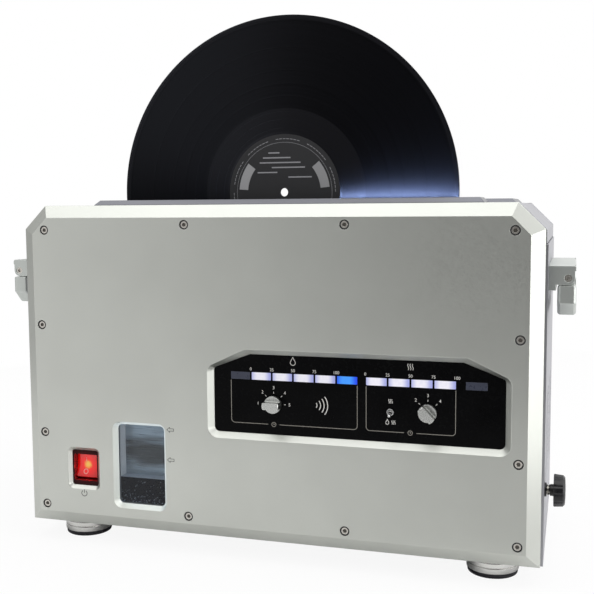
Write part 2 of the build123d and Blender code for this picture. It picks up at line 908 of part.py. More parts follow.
def gauge_housing():
    """Shallow steel tray behind the pane, joined to the reservoir by two short tubes."""
    back = pane_back + gauge_depth
    tray = slab(level_outline(window_overlap - level_bevel), pane_back, back + gauge_sheet)
    tray -= slab(level_outline(-level_bevel), pane_back, back)
    end = reservoir_front + reservoir_wall
    tray += [rod(x, z, back, end, gauge_tube_radius) for x, z in gauge_tube_places()]
    return tray - [rod(x, z, back, end, gauge_tube_radius - gauge_tube_wall)
                   for x, z in gauge_tube_places()]


def reservoir_inside(top):
    return block(reservoir_left + reservoir_wall, reservoir_right - reservoir_wall,
                 reservoir_front + reservoir_wall, reservoir_back - reservoir_wall,
                 base_sheet + reservoir_wall, top)


def reservoir():
    tank = block(reservoir_left, reservoir_right, reservoir_front, reservoir_back, base_sheet, reservoir_top)
    tank -= reservoir_inside(reservoir_top - reservoir_wall)
    tank -= [rod(x, z, reservoir_front, reservoir_front + reservoir_wall, gauge_tube_radius)
             for x, z in gauge_tube_places()]
    tank -= cross_rod(pump_y, pump_z, reservoir_right - reservoir_wall, reservoir_right, pipe_radius)
    return tank - post(return_x, record_y, reservoir_top - reservoir_wall, reservoir_top, pipe_radius)


def reservoir_water():
    """Water in the reservoir and, at the same level, in the gauge behind the pane."""
    gauge = slab(level_outline(-level_bevel), pane_back, pane_back + gauge_depth)
    gauge -= block(level_left, level_right, pane_back, pane_back + gauge_depth, water_level, level_top)
    return [gauge, reservoir_inside(water_level)]


# ---------------------------------------------------------------- wash chamber and rollers
def below_record(x, radius):
    """Height of a circle about the record's centre, below the record, at a given X."""
    return record_z - sqrt(radius ** 2 - x ** 2)


def half_chord(z, radius):
    return sqrt(radius ** 2 - (record_z - z) ** 2)


def feed_centres():
    first = -(feed_count - 1) / 2 * feed_pitch
    return [first + index * feed_pitch for index in range(feed_count)]


def feed_windows():
    """Air passages through both long walls of the chamber and of the manifold round it."""
    middle = (manifold_bottom + manifold_top) / 2
    reach = chamber_outer_half + duct_wall
    return [block(x - feed_length / 2, x + feed_length / 2, record_y - reach, record_y + reach,
                  middle - feed_height / 2, middle + feed_height / 2) for x in feed_centres()]


def port_start(x):
    return below_record(x, chamber_outer) - port_drop


def wash_chamber():
    """Narrow vessel whose round bottom follows the record, open at the top, with a flange there."""
    vessel = rod(0, record_z, chamber_front, chamber_back, chamber_outer)
    ports = (return_x, pump_port_x)
    vessel += [post(x, record_y, port_start(x), port_start(x) + port_length, pipe_radius + chamber_wall)
               for x in ports]
    vessel -= rod(0, record_z, record_y - chamber_half_depth, record_y + chamber_half_depth, chamber_radius)
    vessel -= [post(x, record_y, port_start(x), port_start(x) + port_length, pipe_radius) for x in ports]
    vessel -= block(-chamber_outer, chamber_outer, chamber_front, chamber_back, chamber_top,
                    record_z + chamber_outer)
    mouth = half_chord(chamber_top - flange_height, chamber_radius)
    flange = block(-flange_half_length, flange_half_length, chamber_front - flange_width,
                   chamber_back + flange_width, chamber_top - flange_height, chamber_top)
    vessel += flange - block(-mouth, mouth, record_y - chamber_half_depth, record_y + chamber_half_depth,
                             chamber_top - flange_height, chamber_top)
    vessel -= [rod(x, z, chamber_front, chamber_back, pin_radius) for x, z in idle_roller_places()]
    vessel -= rod(*drive_place(), record_y, chamber_back, drive_shaft_radius + running_gap)
    return vessel - feed_windows()


def beside_record(angle):
    """Centre of a roller that touches the record's edge at an angle from straight below it."""
    reach = record_radius + body_gap + roller_root_radius
    return reach * sin(radians(angle)), record_z - reach * cos(radians(angle))


def drive_place():
    return beside_record(drive_angle)


def idle_roller_places():
    return [beside_record(angle) for angle in (-drive_angle, -guide_angle, guide_angle)]


def grooved_roller(place_xz, bore):
    """Roller whose V-shaped groove carries the record's edge."""
    half = roller_half_width
    lip = roller_radius - roller_chamfer
    land = half - roller_chamfer
    wheel = turned((bore, -half), (lip, -half), (roller_radius, -land), (roller_radius, roller_rim - land),
                   (roller_root_radius, -roller_root_half), (roller_root_radius, roller_root_half),
                   (roller_radius, land - roller_rim), (roller_radius, land), (lip, half), (bore, half))
    return Pos(place_xz[0], record_y, place_xz[1]) * Rot(90, 0, 0) * wheel


def roller_pins():
    return [rod(x, z, chamber_front, chamber_back, pin_radius) for x, z in idle_roller_places()]


def drive_shaft():
    end = chamber_back + motor_length - motor_end - body_gap
    return rod(*drive_place(), record_y - roller_half_width, end, drive_shaft_radius)


def drive_motor():
    """Slow geared motor on the chamber's back wall, with two fixing ears."""
    x, z = drive_place()
    end = chamber_back + motor_length
    can = rod(x, z, chamber_back, end, motor_radius)
    can = chamfer(can.edges().group_by(Axis.Y)[-1], motor_chamfer)
    ears = Pos(x, z) * SlotOverall(2 * (motor_radius + motor_ear_reach), motor_ear_width)
    can += slab(ears, chamber_back, chamber_back + motor_ear_sheet)
    return can - rod(x, z, chamber_back, end - motor_end, drive_shaft_radius + running_gap)


def record():
    """Pressed disc: thick at the middle, thin at the grooves and beaded at the rim."""
    rim = record_radius - record_rim_width
    side = [(record_hole_radius, record_middle_half), (label_radius, record_middle_half),
            (label_radius + label_step, record_half), (rim, record_half),
            (rim + record_edge, record_rim_half), (record_radius - record_edge, record_rim_half),
            (record_radius, record_rim_half - record_edge)]
    other_side = [(radius, -half) for radius, half in reversed(side)]
    return Pos(0, record_y, record_z) * Rot(90, 0, 0) * turned(*side, *other_side)


def record_labels():
    paper = Pos(0, record_z) * (Circle(label_radius) - Circle(record_hole_radius))
    return [slab(paper, record_y + side * record_middle_half,
                 record_y + side * (record_middle_half + label_sheet)) for side in (-1, 1)]


# ---------------------------------------------------------------- ultrasonics
def transducer_places():
    """Centres in the front view, beside and above the drive motor and its mirror image."""
    x, z = drive_place()
    reach = x - transducer_side_step
    return [(-reach, z + transducer_rise), (reach, z + transducer_rise)]


def transducer(x, z, wall, away):
    """Bolted stack on the chamber wall: radiating cone, two ceramic rings and a back mass."""
    end = wall + away * horn_length
    sections = [front_view(wall) * Pos(x, z) * Circle(horn_radius),
                front_view(end) * Pos(x, z) * Circle(stack_radius)]
    stack = [loft(sections)]
    for length in (ceramic_length, ceramic_length, mass_length):
        stack.append(rod(x, z, end, end + away * length, stack_radius))
        end += away * length
    return stack


def transducers():
    solids = []
    for x, z in transducer_places():
        solids += transducer(x, z, chamber_front, -1) + transducer(x, z, chamber_back, 1)
    return solids


# ---------------------------------------------------------------- drying air
def air_nozzle(side):
    """Bar inside the chamber, under the slot, that blows along one face of the record."""
    wall = record_y + side * chamber_half_depth
    lip = wall - side * nozzle_depth
    bottom = manifold_top - nozzle_height
    face = outline((wall, manifold_top), (lip, manifold_top), (lip, bottom + nozzle_depth), (wall, bottom))
    return side_slab(face, -nozzle_half_length, nozzle_half_length)


def air_manifold():
    """Flat hollow ring round the chamber that feeds both nozzles."""
    outer_y = chamber_outer_half + manifold_reach
    ring = block(-manifold_half_length, manifold_half_length, record_y - outer_y, record_y + outer_y,
                 manifold_bottom, manifold_top)
    hollow_x = manifold_half_length - duct_wall
    hollow_y = outer_y - duct_wall
    bottom = manifold_bottom + duct_wall
    top = manifold_top - duct_wall
    hollow = block(-hollow_x, hollow_x, record_y - hollow_y, record_y + hollow_y, bottom, top)
    kept_x = manifold_inner + duct_wall
    kept_y = chamber_outer_half + duct_wall
    hollow -= block(-kept_x, kept_x, record_y - kept_y, record_y + kept_y, bottom, top)
    ring -= hollow
    ring -= block(-manifold_inner, manifold_inner, chamber_front, chamber_back, manifold_bottom, manifold_top)
    half = duct_half_length - duct_wall
    ring -= [block(x - half, x + half, record_y + hollow_y, record_y + outer_y, bottom, top)
             for x in (-fan_x, fan_x)]
    return ring - feed_windows()


def air_duct(x):
    """Tapering duct from a fan up to the manifold."""
    start = chamber_back + manifold_reach
    end = frame_back - fan_length
    middle = (manifold_bottom + manifold_top) / 2
    half = (manifold_top - manifold_bottom) / 2

    def walls(shrink):
        small = Pos(x, middle) * Rectangle(2 * (duct_half_length - shrink), 2 * (half - shrink))
        large = Pos(x, fan_z) * Rectangle(fan_size - 2 * shrink, fan_size - 2 * shrink)
        return loft([front_view(start) * small, front_view(end) * large], ruled=True)

    return walls(0) - walls(duct_wall)


def fan_holes(x):
    half = fan_hole_pitch / 2
    return [(x + dx, fan_z + dz) for dx in (-half, half) for dz in (-half, half)]


def fan_screw_holes(x, start, end):
    return [rod(px, pz, start, end, screw_shank_radius) for px, pz in fan_holes(x)]


def fan_frame(x):
    """Square fan body: round tunnel, corner holes and a cross of webs that holds the rotor's pin."""
    front = frame_back - fan_length
    square = fillet(Rectangle(fan_size, fan_size).vertices(), fan_corner)
    body = slab(Pos(x, fan_z) * square, front, frame_back)
    body -= rod(x, fan_z, front, frame_back, fan_bore_radius)
    web = Rectangle(2 * fan_bore_radius + fan_web_width, fan_web_width)
    body += [slab(Pos(x, fan_z) * Rot(0, 0, angle) * web, front, front + fan_web) for angle in (45, 135)]
    body += rod(x, fan_z, front, front + fan_web, fan_hub_radius)
    body += rod(x, fan_z, front, frame_back - fan_pin_end, fan_pin_radius)
    return body - fan_screw_holes(x, front, frame_back)


def blade_section(radius, chord, pitch):
    across = (0, cos(radians(pitch)), sin(radians(pitch)))
    plane = Plane(origin=(radius, 0, 0), x_dir=across, z_dir=(1, 0, 0))
    return plane * Rectangle(chord, fan_blade_sheet)


def fan_rotor(x):
    """Hub with twisted blades whose tips follow the tunnel."""
    front = frame_back - fan_length + fan_web + body_gap
    back = frame_back - fan_blade_gap
    tip = fan_bore_radius - fan_blade_gap
    radii = (fan_hub_radius - fan_blade_root, (fan_hub_radius + tip) / 2, tip)
    blade = loft([blade_section(*sizes) for sizes in zip(radii, fan_blade_chords, fan_blade_pitches)])
    blade &= Cylinder(tip, back - front)
    rotor = Cylinder(fan_hub_radius, back - front)
    rotor += [Rot(0, 0, index * 360 / fan_blades) * blade for index in range(fan_blades)]
    rotor -= Cylinder(fan_pin_radius + running_gap, back - front)
    return Pos(x, (front + back) / 2, fan_z) * Rot(90, 0, 0) * rotor


def fan_guard(x):
    """Stamped guard: rings joined by four spokes that end in screw eyes."""
    shape = Circle(guard_boss_radius)
    for index in range(guard_rings):
        radius = fan_bore_radius - guard_edge - index * guard_ring_pitch
        shape += Circle(radius) - Circle(radius - guard_wire)
    spoke = Rectangle(fan_hole_pitch * sqrt(2), guard_spoke)
    shape += [Rot(0, 0, angle) * spoke for angle in (45, 135)]
    half = fan_hole_pitch / 2
    eyes = [Pos(dx, dz) for dx in (-half, half) for dz in (-half, half)]
    shape += [eye * Circle(guard_eye_radius) for eye in eyes]
    shape -= [eye * Circle(screw_shank_radius) for eye in eyes]
    return slab(Pos(x, fan_z) * shape, body_depth, body_depth + guard_sheet)


# ---------------------------------------------------------------- water path
def pump():
    """Water pump: round head with three ports, its motor, and a cradle on the base plate."""
    head_right = pump_head_left + pump_head_length
    motor_right = head_right + pump_motor_length
    body = cross_rod(pump_y, pump_z, pump_head_left, head_right, pump_head_radius)
    body += cross_rod(pump_y, pump_z, reservoir_right - reservoir_wall, pump_head_left, pipe_radius)
    body += cross_rod(pump_y, pump_z, head_right, motor_right, pump_motor_radius)
    body += rod(pump_port_x, pump_z, pump_y - pump_head_radius - pump_side_port, pump_y, pipe_radius)
    body += post(pump_port_x, pump_y, pump_z, pump_z + pump_head_radius + pump_top_port, pipe_radius)
    return body + block(head_right + cradle_inset, motor_right - cradle_inset, pump_y - cradle_half_width,
                        pump_y + cradle_half_width, base_sheet, pump_z)


def pipe_along(*points):
    path = FilletPolyline(*points, radius=pipe_bend)
    return sweep(Plane(origin=path @ 0, z_dir=path % 0) * Circle(pipe_radius), path=path)


def fill_pipe():
    """Straight pipe from the pump up into the chamber's port."""
    return post(pump_port_x, pump_y, pump_z + pump_head_radius + pump_top_port,
                port_start(pump_port_x) + pipe_overlap, pipe_radius)


def drain_pipe():
    """Pipe from the pump's second port to the drain valve on the right side."""
    return pipe_along((pump_port_x, pump_y - pump_head_radius - pump_side_port, pump_z),
                      (pump_port_x, drain_run_y, pump_z), (drain_run_right, drain_run_y, pump_z),
                      (drain_turn_x, drain_y, drain_z), (drain_body_left, drain_y, drain_z))


def return_valve():
    """Solenoid valve that lets the chamber drain back into the reservoir."""
    top = port_start(return_x)
    size = valve_half_size
    valve = block(return_x - size, return_x + size, record_y - size, record_y + size, reservoir_top, top)
    valve += post(return_x, record_y, reservoir_top - reservoir_wall, top + pipe_overlap, pipe_radius)
    return valve + rod(return_x, (reservoir_top + top) / 2, record_y + size,
                       record_y + size + valve_coil_length, valve_coil_radius)


def drain_valve_body():
    face = cover_half + drain_ring_show
    body = cross_rod(drain_y, drain_z, drain_body_left, drain_shoulder, drain_body_radius)
    body += cross_rod(drain_y, drain_z, drain_shoulder, face, drain_ring_radius)
    return body - cross_rod(drain_y, drain_z, drain_body_left + drain_seat, face,
                            drain_stem_radius + running_gap)


def drain_valve_stem():
    return cross_rod(drain_y, drain_z, drain_body_left + drain_seat + body_gap,
                     cover_half + drain_ring_show + drain_stem_show, drain_stem_radius)


def drain_valve_knob():
    """Hand knob: a slender hub and a wide head with finger flutes."""
    start = cover_half + drain_ring_show + drain_stem_show
    head = start + drain_hub_length
    tip = head + drain_head_length
    radius = drain_head_radius
    knob = turned((0, start), (drain_hub_radius, start), (drain_hub_radius, head),
                  (radius - drain_head_edge, head), (radius, head + drain_head_edge),
                  (radius - drain_head_edge, tip - drain_head_slope),
                  (radius - drain_head_slope, tip - drain_head_edge), (drain_hub_radius, tip), (0, tip))
    flute = Pos(radius + drain_flute_offset, 0, (head + tip) / 2) * Cylinder(drain_flute_radius,
                                                                            2 * drain_head_length)
    for index in range(drain_flutes):
        knob -= Rot(0, 0, index * 360 / drain_flutes) * flute
    return Pos(0, drain_y, drain_z) * Rot(0, 90, 0) * knob


# ---------------------------------------------------------------- electrics
def power_supply():
    """Folded metal case with a row of cooling slots in its top."""
    top = base_sheet + supply_height
    case = block(supply_left, supply_right, supply_front, supply_back, base_sheet, top)
    case -= block(supply_left + supply_sheet, supply_right - supply_sheet, supply_front + supply_sheet,
                  supply_back - supply_sheet, base_sheet + supply_sheet, top - supply_sheet)
    middle = (supply_left + supply_right) / 2
    for index in range(supply_slots):
        x = middle + (index - (supply_slots - 1) / 2) * supply_slot_pitch
        case -= block(x - supply_slot / 2, x + supply_slot / 2, supply_front + supply_slot_inset,
                      supply_back - supply_slot_inset, top - supply_sheet, top)
    return case


def ultrasonic_driver():
    """Circuit board on four posts, with a finned heat sink, a transformer and two capacitors."""
    low = base_sheet + driver_lift
    top = low + board_sheet
    solids = [block(driver_left, driver_right, driver_front, driver_back, low, top)]
    inset = driver_post_inset
    for x in (driver_left + inset, driver_right - inset):
        solids += [post(x, y, base_sheet, low, driver_post_radius)
                   for y in (driver_front + inset, driver_back - inset)]
    sink_left = driver_left + part_inset
    sink_front = driver_back - sink_depth - inset
    sink = block(sink_left, sink_left + sink_width, sink_front, sink_front + sink_depth,
                 top, top + sink_height)
    for index in range(sink_fins):
        y = sink_front + sink_fin_pitch * (index + 0.5)
        sink -= block(sink_left, sink_left + sink_width, y, y + sink_fin_pitch / 2, top + sink_foot,
                      top + sink_height)
    solids.append(sink)
    coil_front = driver_front + inset
    solids.append(block(sink_left, sink_left + coil_size, coil_front, coil_front + coil_size, top,
                        top + coil_height))
    solids += [post(driver_right - part_inset, driver_front + part_inset + index * capacitor_pitch, top,
                    top + capacitor_height, capacitor_radius) for index in range(capacitor_count)]
    return solids


def inlet_outline():
    return rectangle(inlet_x - inlet_width / 2, inlet_x + inlet_width / 2, inlet_z - inlet_height / 2,
                     inlet_z + inlet_height / 2, inlet_corner)


def mains_inlet():
    """Mains inlet socket: flange, deep recess with its upper corners cut, and three blades."""
    face = body_depth + inlet_flange
    flange = fillet(Rectangle(inlet_flange_width, inlet_flange_height).vertices(), inlet_flange_radius)
    body = slab(Pos(inlet_x, inlet_z) * flange, body_depth, face)
    body += slab(inlet_outline(), face - inlet_depth, body_depth)
    half = socket_half_width
    low = -socket_half_height
    high = socket_half_height
    recess = outline((socket_cut - half, high), (half - socket_cut, high), (half, high - socket_cut),
                     (half, low), (-half, low), (-half, high - socket_cut))
    floor = face - socket_depth
    body -= slab(Pos(inlet_x, inlet_z) * recess, floor, face)
    for dx, dz in blade_places:
        blade = Pos(inlet_x + dx, inlet_z + dz) * Rectangle(2 * blade_half_width, 2 * blade_half_height)
        body += slab(blade, floor, face - blade_sink)
    return body


# ---------------------------------------------------------------- handles
def handed(shape, side):
    return shape if side > 0 else mirror(shape, Plane.YZ)


def pin_heads():
    """Depth of each handle pin's outer end, and the direction that leads inwards from it."""
    return ((handle_front + handle_pin_sink, 1), (handle_back - handle_pin_sink, -1))


def handle_housing(side):
    """Wall plate, lid and two cheeks that hold the grip's pins."""
    housing = block(cover_half, handle_wall_outer, handle_front, handle_back,
                    handle_top - handle_wall_height, handle_top)
    lid = block(cover_half, handle_lid_outer, handle_front, handle_back, handle_top - handle_lid, handle_top)
    outer_edge = lid.edges().filter_by(Axis.Y).group_by(Axis.X)[-1].group_by(Axis.Z)[-1]
    housing += chamfer(outer_edge, handle_lid_chamfer)
    cheek = rectangle(cover_half, cheek_outer, handle_pin_z - cheek_round, handle_top)
    corner = cheek.vertices().sort_by(lambda vertex: vertex.X - vertex.Y)[-1]
    cheek = fillet(corner, cheek_round - cheek_round_trim)
    for y in (handle_front, handle_back - cheek_length):
        housing += slab(cheek, y, y + cheek_length)
        housing -= rod(handle_pin_x, handle_pin_z, y, y + cheek_length, handle_pin_radius)
    for end, inward in pin_heads():
        housing -= rod(handle_pin_x, handle_pin_z, end - inward * handle_pin_sink,
                       end + inward * screw_head_height, screw_head_radius)
    return handed(housing, side)


def handle_bail(side):
    """U-shaped grip with slanting lower corners, hung from two lugs."""
    inside_front = handle_front + bail_arm
    inside_back = handle_back - bail_arm
    face = outline((handle_front, bail_top), (handle_front, bail_bottom + bail_bevel),
                   (handle_front + bail_bevel, bail_bottom), (handle_back - bail_bevel, bail_bottom),
                   (handle_back, bail_bottom + bail_bevel), (handle_back, bail_top))
    bail = side_slab(face, bail_inner, bail_outer)
    sides = bail.faces().sort_by(Axis.X)
    bail = fillet(sides[0].edges() + sides[-1].edges(), bail_round)
    bail -= block(bail_inner, bail_outer, inside_front, inside_back, bail_bottom + bail_bar, bail_top)
    for y in handle_lugs:
        bail += block(handle_pin_x - lug_radius, handle_pin_x + lug_radius, y, y + lug_width,
                      bail_top - lug_root, handle_pin_z)
        bail += rod(handle_pin_x, handle_pin_z, y, y + lug_width, lug_radius)
        bail -= rod(handle_pin_x, handle_pin_z, y, y + lug_width, handle_pin_radius + running_gap)
    return handed(bail, side)


def handle_pins(side):
    """Two short socket-head pins for one handle."""
    pins = []
    for end, inward in pin_heads():
        under = end + inward * screw_head_height
        tip = end + inward * (cheek_length + body_gap + lug_width)
        hexagon = Pos(handle_pin_x, handle_pin_z) * RegularPolygon(screw_socket_radius, 6, major_radius=False)
        pin = rod(handle_pin_x, handle_pin_z, end, under, screw_head_radius)
        pin += rod(handle_pin_x, handle_pin_z, under, tip, handle_pin_radius)
        pin -= slab(hexagon, end, end + inward * screw_socket_depth)
        pins.append(handed(pin, side))
    return pins


def fan_guard_screws():
    return [hex_screw(px, pz, body_depth + guard_sheet, -1) for x in (-fan_x, fan_x)
            for px, pz in fan_holes(x)]


foot_places = [(x, y) for x in (-foot_x, foot_x) for y in (foot_inset_y, body_depth - foot_inset_y)]
idler, left_guide, right_guide = idle_roller_places()
idle_bore = pin_radius + running_gap

save("front_panel", front_panel())
save("front_panel_screws", *[hex_screw(x, z, screw_seat_depth, 1) for x, z in panel_screw_places()])
save("rear_panel", rear_panel())
save("rear_screws", *[hex_screw(x, z, body_depth - screw_seat_depth, -1) for x, z in panel_screw_places()],
     *fan_guard_screws())
save("chassis_rails", *chassis_rails())
save("base_plate", base_plate())
save("top_cover", top_cover())
save("left_side_cover", side_cover(-1))
save("right_side_cover", side_cover(1))
save("feet", *[foot(x, y) for x, y in foot_places])
save("foot_pads", *[foot_pad(x, y) for x, y in foot_places])
save("slot_surround", slot_surround())
save("slot_liner", slot_liner())
save("exhaust_cover", exhaust_cover())
save("control_fascia", control_fascia())
save("progress_lights", *[light_lens(x) for x in progress_light_centres()])
save("draining_light", light_lens(draining_light_x))
save("idle_lights", light_lens(idle_left_x), light_lens(idle_right_x))
save("control_board", *control_board())
save("washing_knob", rotary_knob(washing_knob_x, 0))
save("drying_knob", rotary_knob(drying_knob_x, drying_knob_turn))
save("toggle_bushing", toggle_bushing())
save("toggle_lever", toggle_lever())
save("power_switch_case", power_case())
save("power_rocker", power_rocker())
save("level_window", level_pane())
save("gauge_housing", gauge_housing())
save("reservoir", reservoir())
save("reservoir_water", *reservoir_water())
save("pump", pump())
save("water_pipes", fill_pipe(), drain_pipe())
save("return_valve", return_valve())
save("drain_valve_body", drain_valve_body())
save("drain_valve_stem", drain_valve_stem())
save("drain_valve_knob", drain_valve_knob())
save("wash_chamber", wash_chamber())
save("ultrasonic_transducers", *transducers())
save("ultrasonic_driver", *ultrasonic_driver())
save("drive_roller", grooved_roller(drive_place(), drive_shaft_radius))
save("drive_shaft", drive_shaft())
save("drive_motor", drive_motor())
save("idler_roller", grooved_roller(idler, idle_bore))
save("left_guide_roller", grooved_roller(left_guide, idle_bore))
save("right_guide_roller", grooved_roller(right_guide, idle_bore))
save("roller_pins", *roller_pins())
save("air_nozzles", air_nozzle(-1), air_nozzle(1))
save("air_manifold", air_manifold())
save("air_ducts", air_duct(-fan_x), air_duct(fan_x))
save("fan_frames", fan_frame(-fan_x), fan_frame(fan_x))
save("left_fan_rotor", fan_rotor(-fan_x))
save("right_fan_rotor", fan_rotor(fan_x))
save("fan_guards", fan_guard(-fan_x), fan_guard(fan_x))
save("power_supply", power_supply())
save("mains_inlet", mains_inlet())
save("handle_housings", handle_housing(-1), handle_housing(1))
save("left_handle_bail", handle_bail(-1))
save("right_handle_bail", handle_bail(1))
save("handle_pins", *handle_pins(-1), *handle_pins(1))
save("record", record())
save("record_labels", *record_labels())
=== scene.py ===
import json
import random
from math import cos, pi, radians, sin, tau

import bmesh
import bpy
from mathutils import Matrix, Vector
from mathutils.bvhtree import BVHTree


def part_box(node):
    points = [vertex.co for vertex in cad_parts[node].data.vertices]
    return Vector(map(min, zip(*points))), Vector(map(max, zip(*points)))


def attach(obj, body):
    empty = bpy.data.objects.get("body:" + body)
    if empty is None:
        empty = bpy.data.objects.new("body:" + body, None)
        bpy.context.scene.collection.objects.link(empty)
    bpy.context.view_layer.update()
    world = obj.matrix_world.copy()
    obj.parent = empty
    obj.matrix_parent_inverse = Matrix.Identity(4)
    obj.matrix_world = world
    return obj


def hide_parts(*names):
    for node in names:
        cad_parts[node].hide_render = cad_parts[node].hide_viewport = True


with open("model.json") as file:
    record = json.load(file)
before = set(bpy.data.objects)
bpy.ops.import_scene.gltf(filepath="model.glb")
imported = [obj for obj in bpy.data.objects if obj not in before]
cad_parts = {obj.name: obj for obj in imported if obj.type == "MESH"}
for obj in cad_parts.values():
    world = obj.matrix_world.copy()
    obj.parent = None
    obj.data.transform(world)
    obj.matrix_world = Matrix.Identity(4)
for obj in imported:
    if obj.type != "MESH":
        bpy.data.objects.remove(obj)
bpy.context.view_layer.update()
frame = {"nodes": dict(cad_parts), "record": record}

MM = 0.001

# The camera; its lens is in pixels of a square picture
PICTURE = 594
SENSOR = 36.0
FOCAL = 939.02
AXIS_X = 289.88
AXIS_Y = 293.35
CAMERA_PLACE = Vector((0.24128, -0.82710, 0.29509))
CAMERA_YAW = radians(16.808)
CAMERA_PITCH = radians(-5.190)
CAMERA_ROLL = radians(-0.388)

# The studio: a round floor, a white room, and lamps
FLOOR_CENTRE = Vector((0, 0.35, 0))
FLOOR_RADIUS = 0.95
FLOOR_FADE = (0.5, 0.9)
FLOOR_COLOUR = 0.92
FLOOR_WHITE = 0.91
# a painted shadow in mirrors: the floor goes down to a share between two Xs, and between two Ys
# this sets in
FLOOR_DIM = (-0.15, 0.3, 0.42)
FLOOR_DIM_FRONT = (-0.13, -0.22)
DIFFUSE_LIGHT = 0.55
# a dim side of the room: where it is, the cosines it fades between, and its share of the light
DARK_FRONT = ((0.25, -0.95, 0.15), 0.60, 0.98, 0.06)
DARK_LEFT = ((-1.0, 0.45, 0.3), 0.5, 0.9, 0.42)
# a softbox: its place, what it faces, width, radiance, and for some a colour and a height
SOFTBOXES = {
    "overhead": ((-0.35, -0.25, 2.1), (0, 0, 0.2), 2.9, 0.95),
    "right": ((2.0, -0.2, 0.45), (0, 0, 0.2), 1.5, 1.15),
    "front_right": ((1.5, -1.2, 0.12), (0, 0, 0.25), 0.8, 2.5),
    "upper_right": ((1.3, 0.0, 1.5), (0.2, -0.1, 0.28), 0.9, 3.8),
}
RECORD_LAMPS = {
    "glare": ((0.097, -0.087, 0.301), (0.097, 0, 0.301), 0.105, 700.0, (0.38, 0.52, 1.0), 0.007),
    "sheen": ((-1.6, -0.9, 1.5), (0, -0.04, 0.31), 2.2, 7.0, (0.8, 0.86, 1.0)),
}
WINDOW_GLOW = 1.15
WINDOW_GLOW_COLOUR = (0.84, 0.92, 1.0)
WINDOW_GLOW_GAP = 0.3 * MM
WINDOW_LAP = 8.0 * MM
ROCKER_GLOW = 0.3
ROCKER_GLOW_COLOUR = (1.0, 0.05, 0.04)
ROCKER_GLOW_RADIUS = 1.2 * MM
ROCKER_GLOW_REACH = 4.3 * MM
ROCKER_HOT = (-0.4 * MM, 0, 1.5 * MM)

# The record; its playing surface lies a step below the label and the rim's bead
SPINDLE_HOLE = 3.62 * MM
SPINDLE_ROUND = 0.2 * MM
LABEL_RADIUS = 50.0 * MM
LABEL_SLOPE = ((1.2 * MM, 0.1 * MM), (2.0 * MM, 0.0))
RECORD_STEP = 0.25 * MM
RUN_OUT_EDGE = 72.0 * MM
RUN_OUT_RINGS = (55.5 * MM, 63.0 * MM, 69.5 * MM)
RING_HALF = 0.25 * MM
RING_DEPTH = 0.12 * MM
BAND_EDGES = (RUN_OUT_EDGE, 82.0 * MM, 92.5 * MM, 104.0 * MM, 123.0 * MM, 145.5 * MM)
BAND_GAP = 0.9 * MM
BAND_SLOPE = 0.15 * MM
BAND_DEPTH = 0.05 * MM
RIM_LAND = 3.2 * MM
RIM_BEAD = ((2.7 * MM, 0.0), (0.6 * MM, 0.0), (0.17 * MM, 0.2 * MM), (0.0, 0.6 * MM))
RECORD_STEPS = 360
GROOVE_BANDS = 320.0
GROOVE_LINES = 3500.0
LEAD_IN = (3.5 * MM, 4.5 * MM)

# The label's print; rows and sectors count from its centre
LABEL_DASHES = 90
LABEL_DASH_GROUP = 9
LABEL_DASH_GAPS = (7, 8)
LABEL_DASH = (46 * MM, 3.0, 0.5 * MM)
LABEL_RING = (43 * MM, 0.25 * MM)
LABEL_SECTORS = ((142, 176), (6, 40))
LABEL_SECTOR_RADII = (41 * MM, 33 * MM)
LABEL_ROWS = ((-14, -4), (-19, 6), (-22, 15), (-11, 19), (-24, -6), (4, 25))
LABEL_ROW_TOP = 34 * MM
LABEL_ROW_STEP = 4.2 * MM
LABEL_ROW_WIDTH = 1.1 * MM

# Print on the fascia and the front panel
INK = 0.04 * MM
INK_LINE = 0.45 * MM
BRACKET_CORNER = 3.0 * MM
BRACKET_GAP = 5.0 * MM
BRACKET_DROP = 17.1 * MM
BRACKET_START = 0.9 * MM
CLOCK_SIZE = 3.6 * MM
SCALE_RADII = (8.8 * MM, 10.4 * MM, 13.6 * MM)
SCALE_TEXT = 3.7 * MM
WASHING_SCALE = (("1", 180), ("2", 135), ("3", 90), ("4", 45), ("5", 0))
DRYING_SCALE = (("2", 135), ("3", 90), ("4", 45))
LIGHT_TEXT = 3.5 * MM
LIGHT_TEXT_RISE = 2.6 * MM
LIGHT_MARKS = ("0", "25", "50", "75", "100")
TITLE_RISE = 10 * MM
TITLE_DROP_SIZE = 6 * MM
TITLE_AIR_SIZE = 5 * MM
SOUND_PLACE = (34 * MM, 1 * MM)
SOUND_RADII = (3 * MM, 6 * MM, 9 * MM, 12 * MM)
SOUND_SPAN = 38
SOUND_WIDTH = 0.7 * MM
TOGGLE_SIGN_RISE = 8.5 * MM
TOGGLE_AIR_SIZE = 3.4 * MM
TOGGLE_DROP = (-2.6 * MM, 3.6 * MM)
TOGGLE_DROP_AIR = (2.4 * MM, 3.2 * MM)
LEVEL_DROPS = (4.6 * MM, 30.8 * MM)
LEVEL_ARROW_GAP = 1.4 * MM
LEVEL_ARROW = (2.2 * MM, 1.0 * MM, 2.6 * MM, 6.2 * MM)
LEVEL_ARROW_LINE = 0.42 * MM
POWER_SIGN_DROP = 6.4 * MM
POWER_SIGN_RADIUS = 2.6 * MM
POWER_SIGN_SPAN = (125, 415)
POWER_SIGN_BAR = (0.2 * MM, 3.3 * MM)
POWER_SIGN_LINE = 0.6 * MM

# Marks on the rocker, measured from its middle, top and bottom
MARK_RELIEF = 0.05 * MM
MARK_LEFT = 1.9 * MM
MARK_BAR = (7.4 * MM, 3.8 * MM)
MARK_BAR_LINE = 0.6 * MM
MARK_CIRCLE_RISE = 6.8 * MM
MARK_CIRCLE = (2.0 * MM, 0.75 * MM)

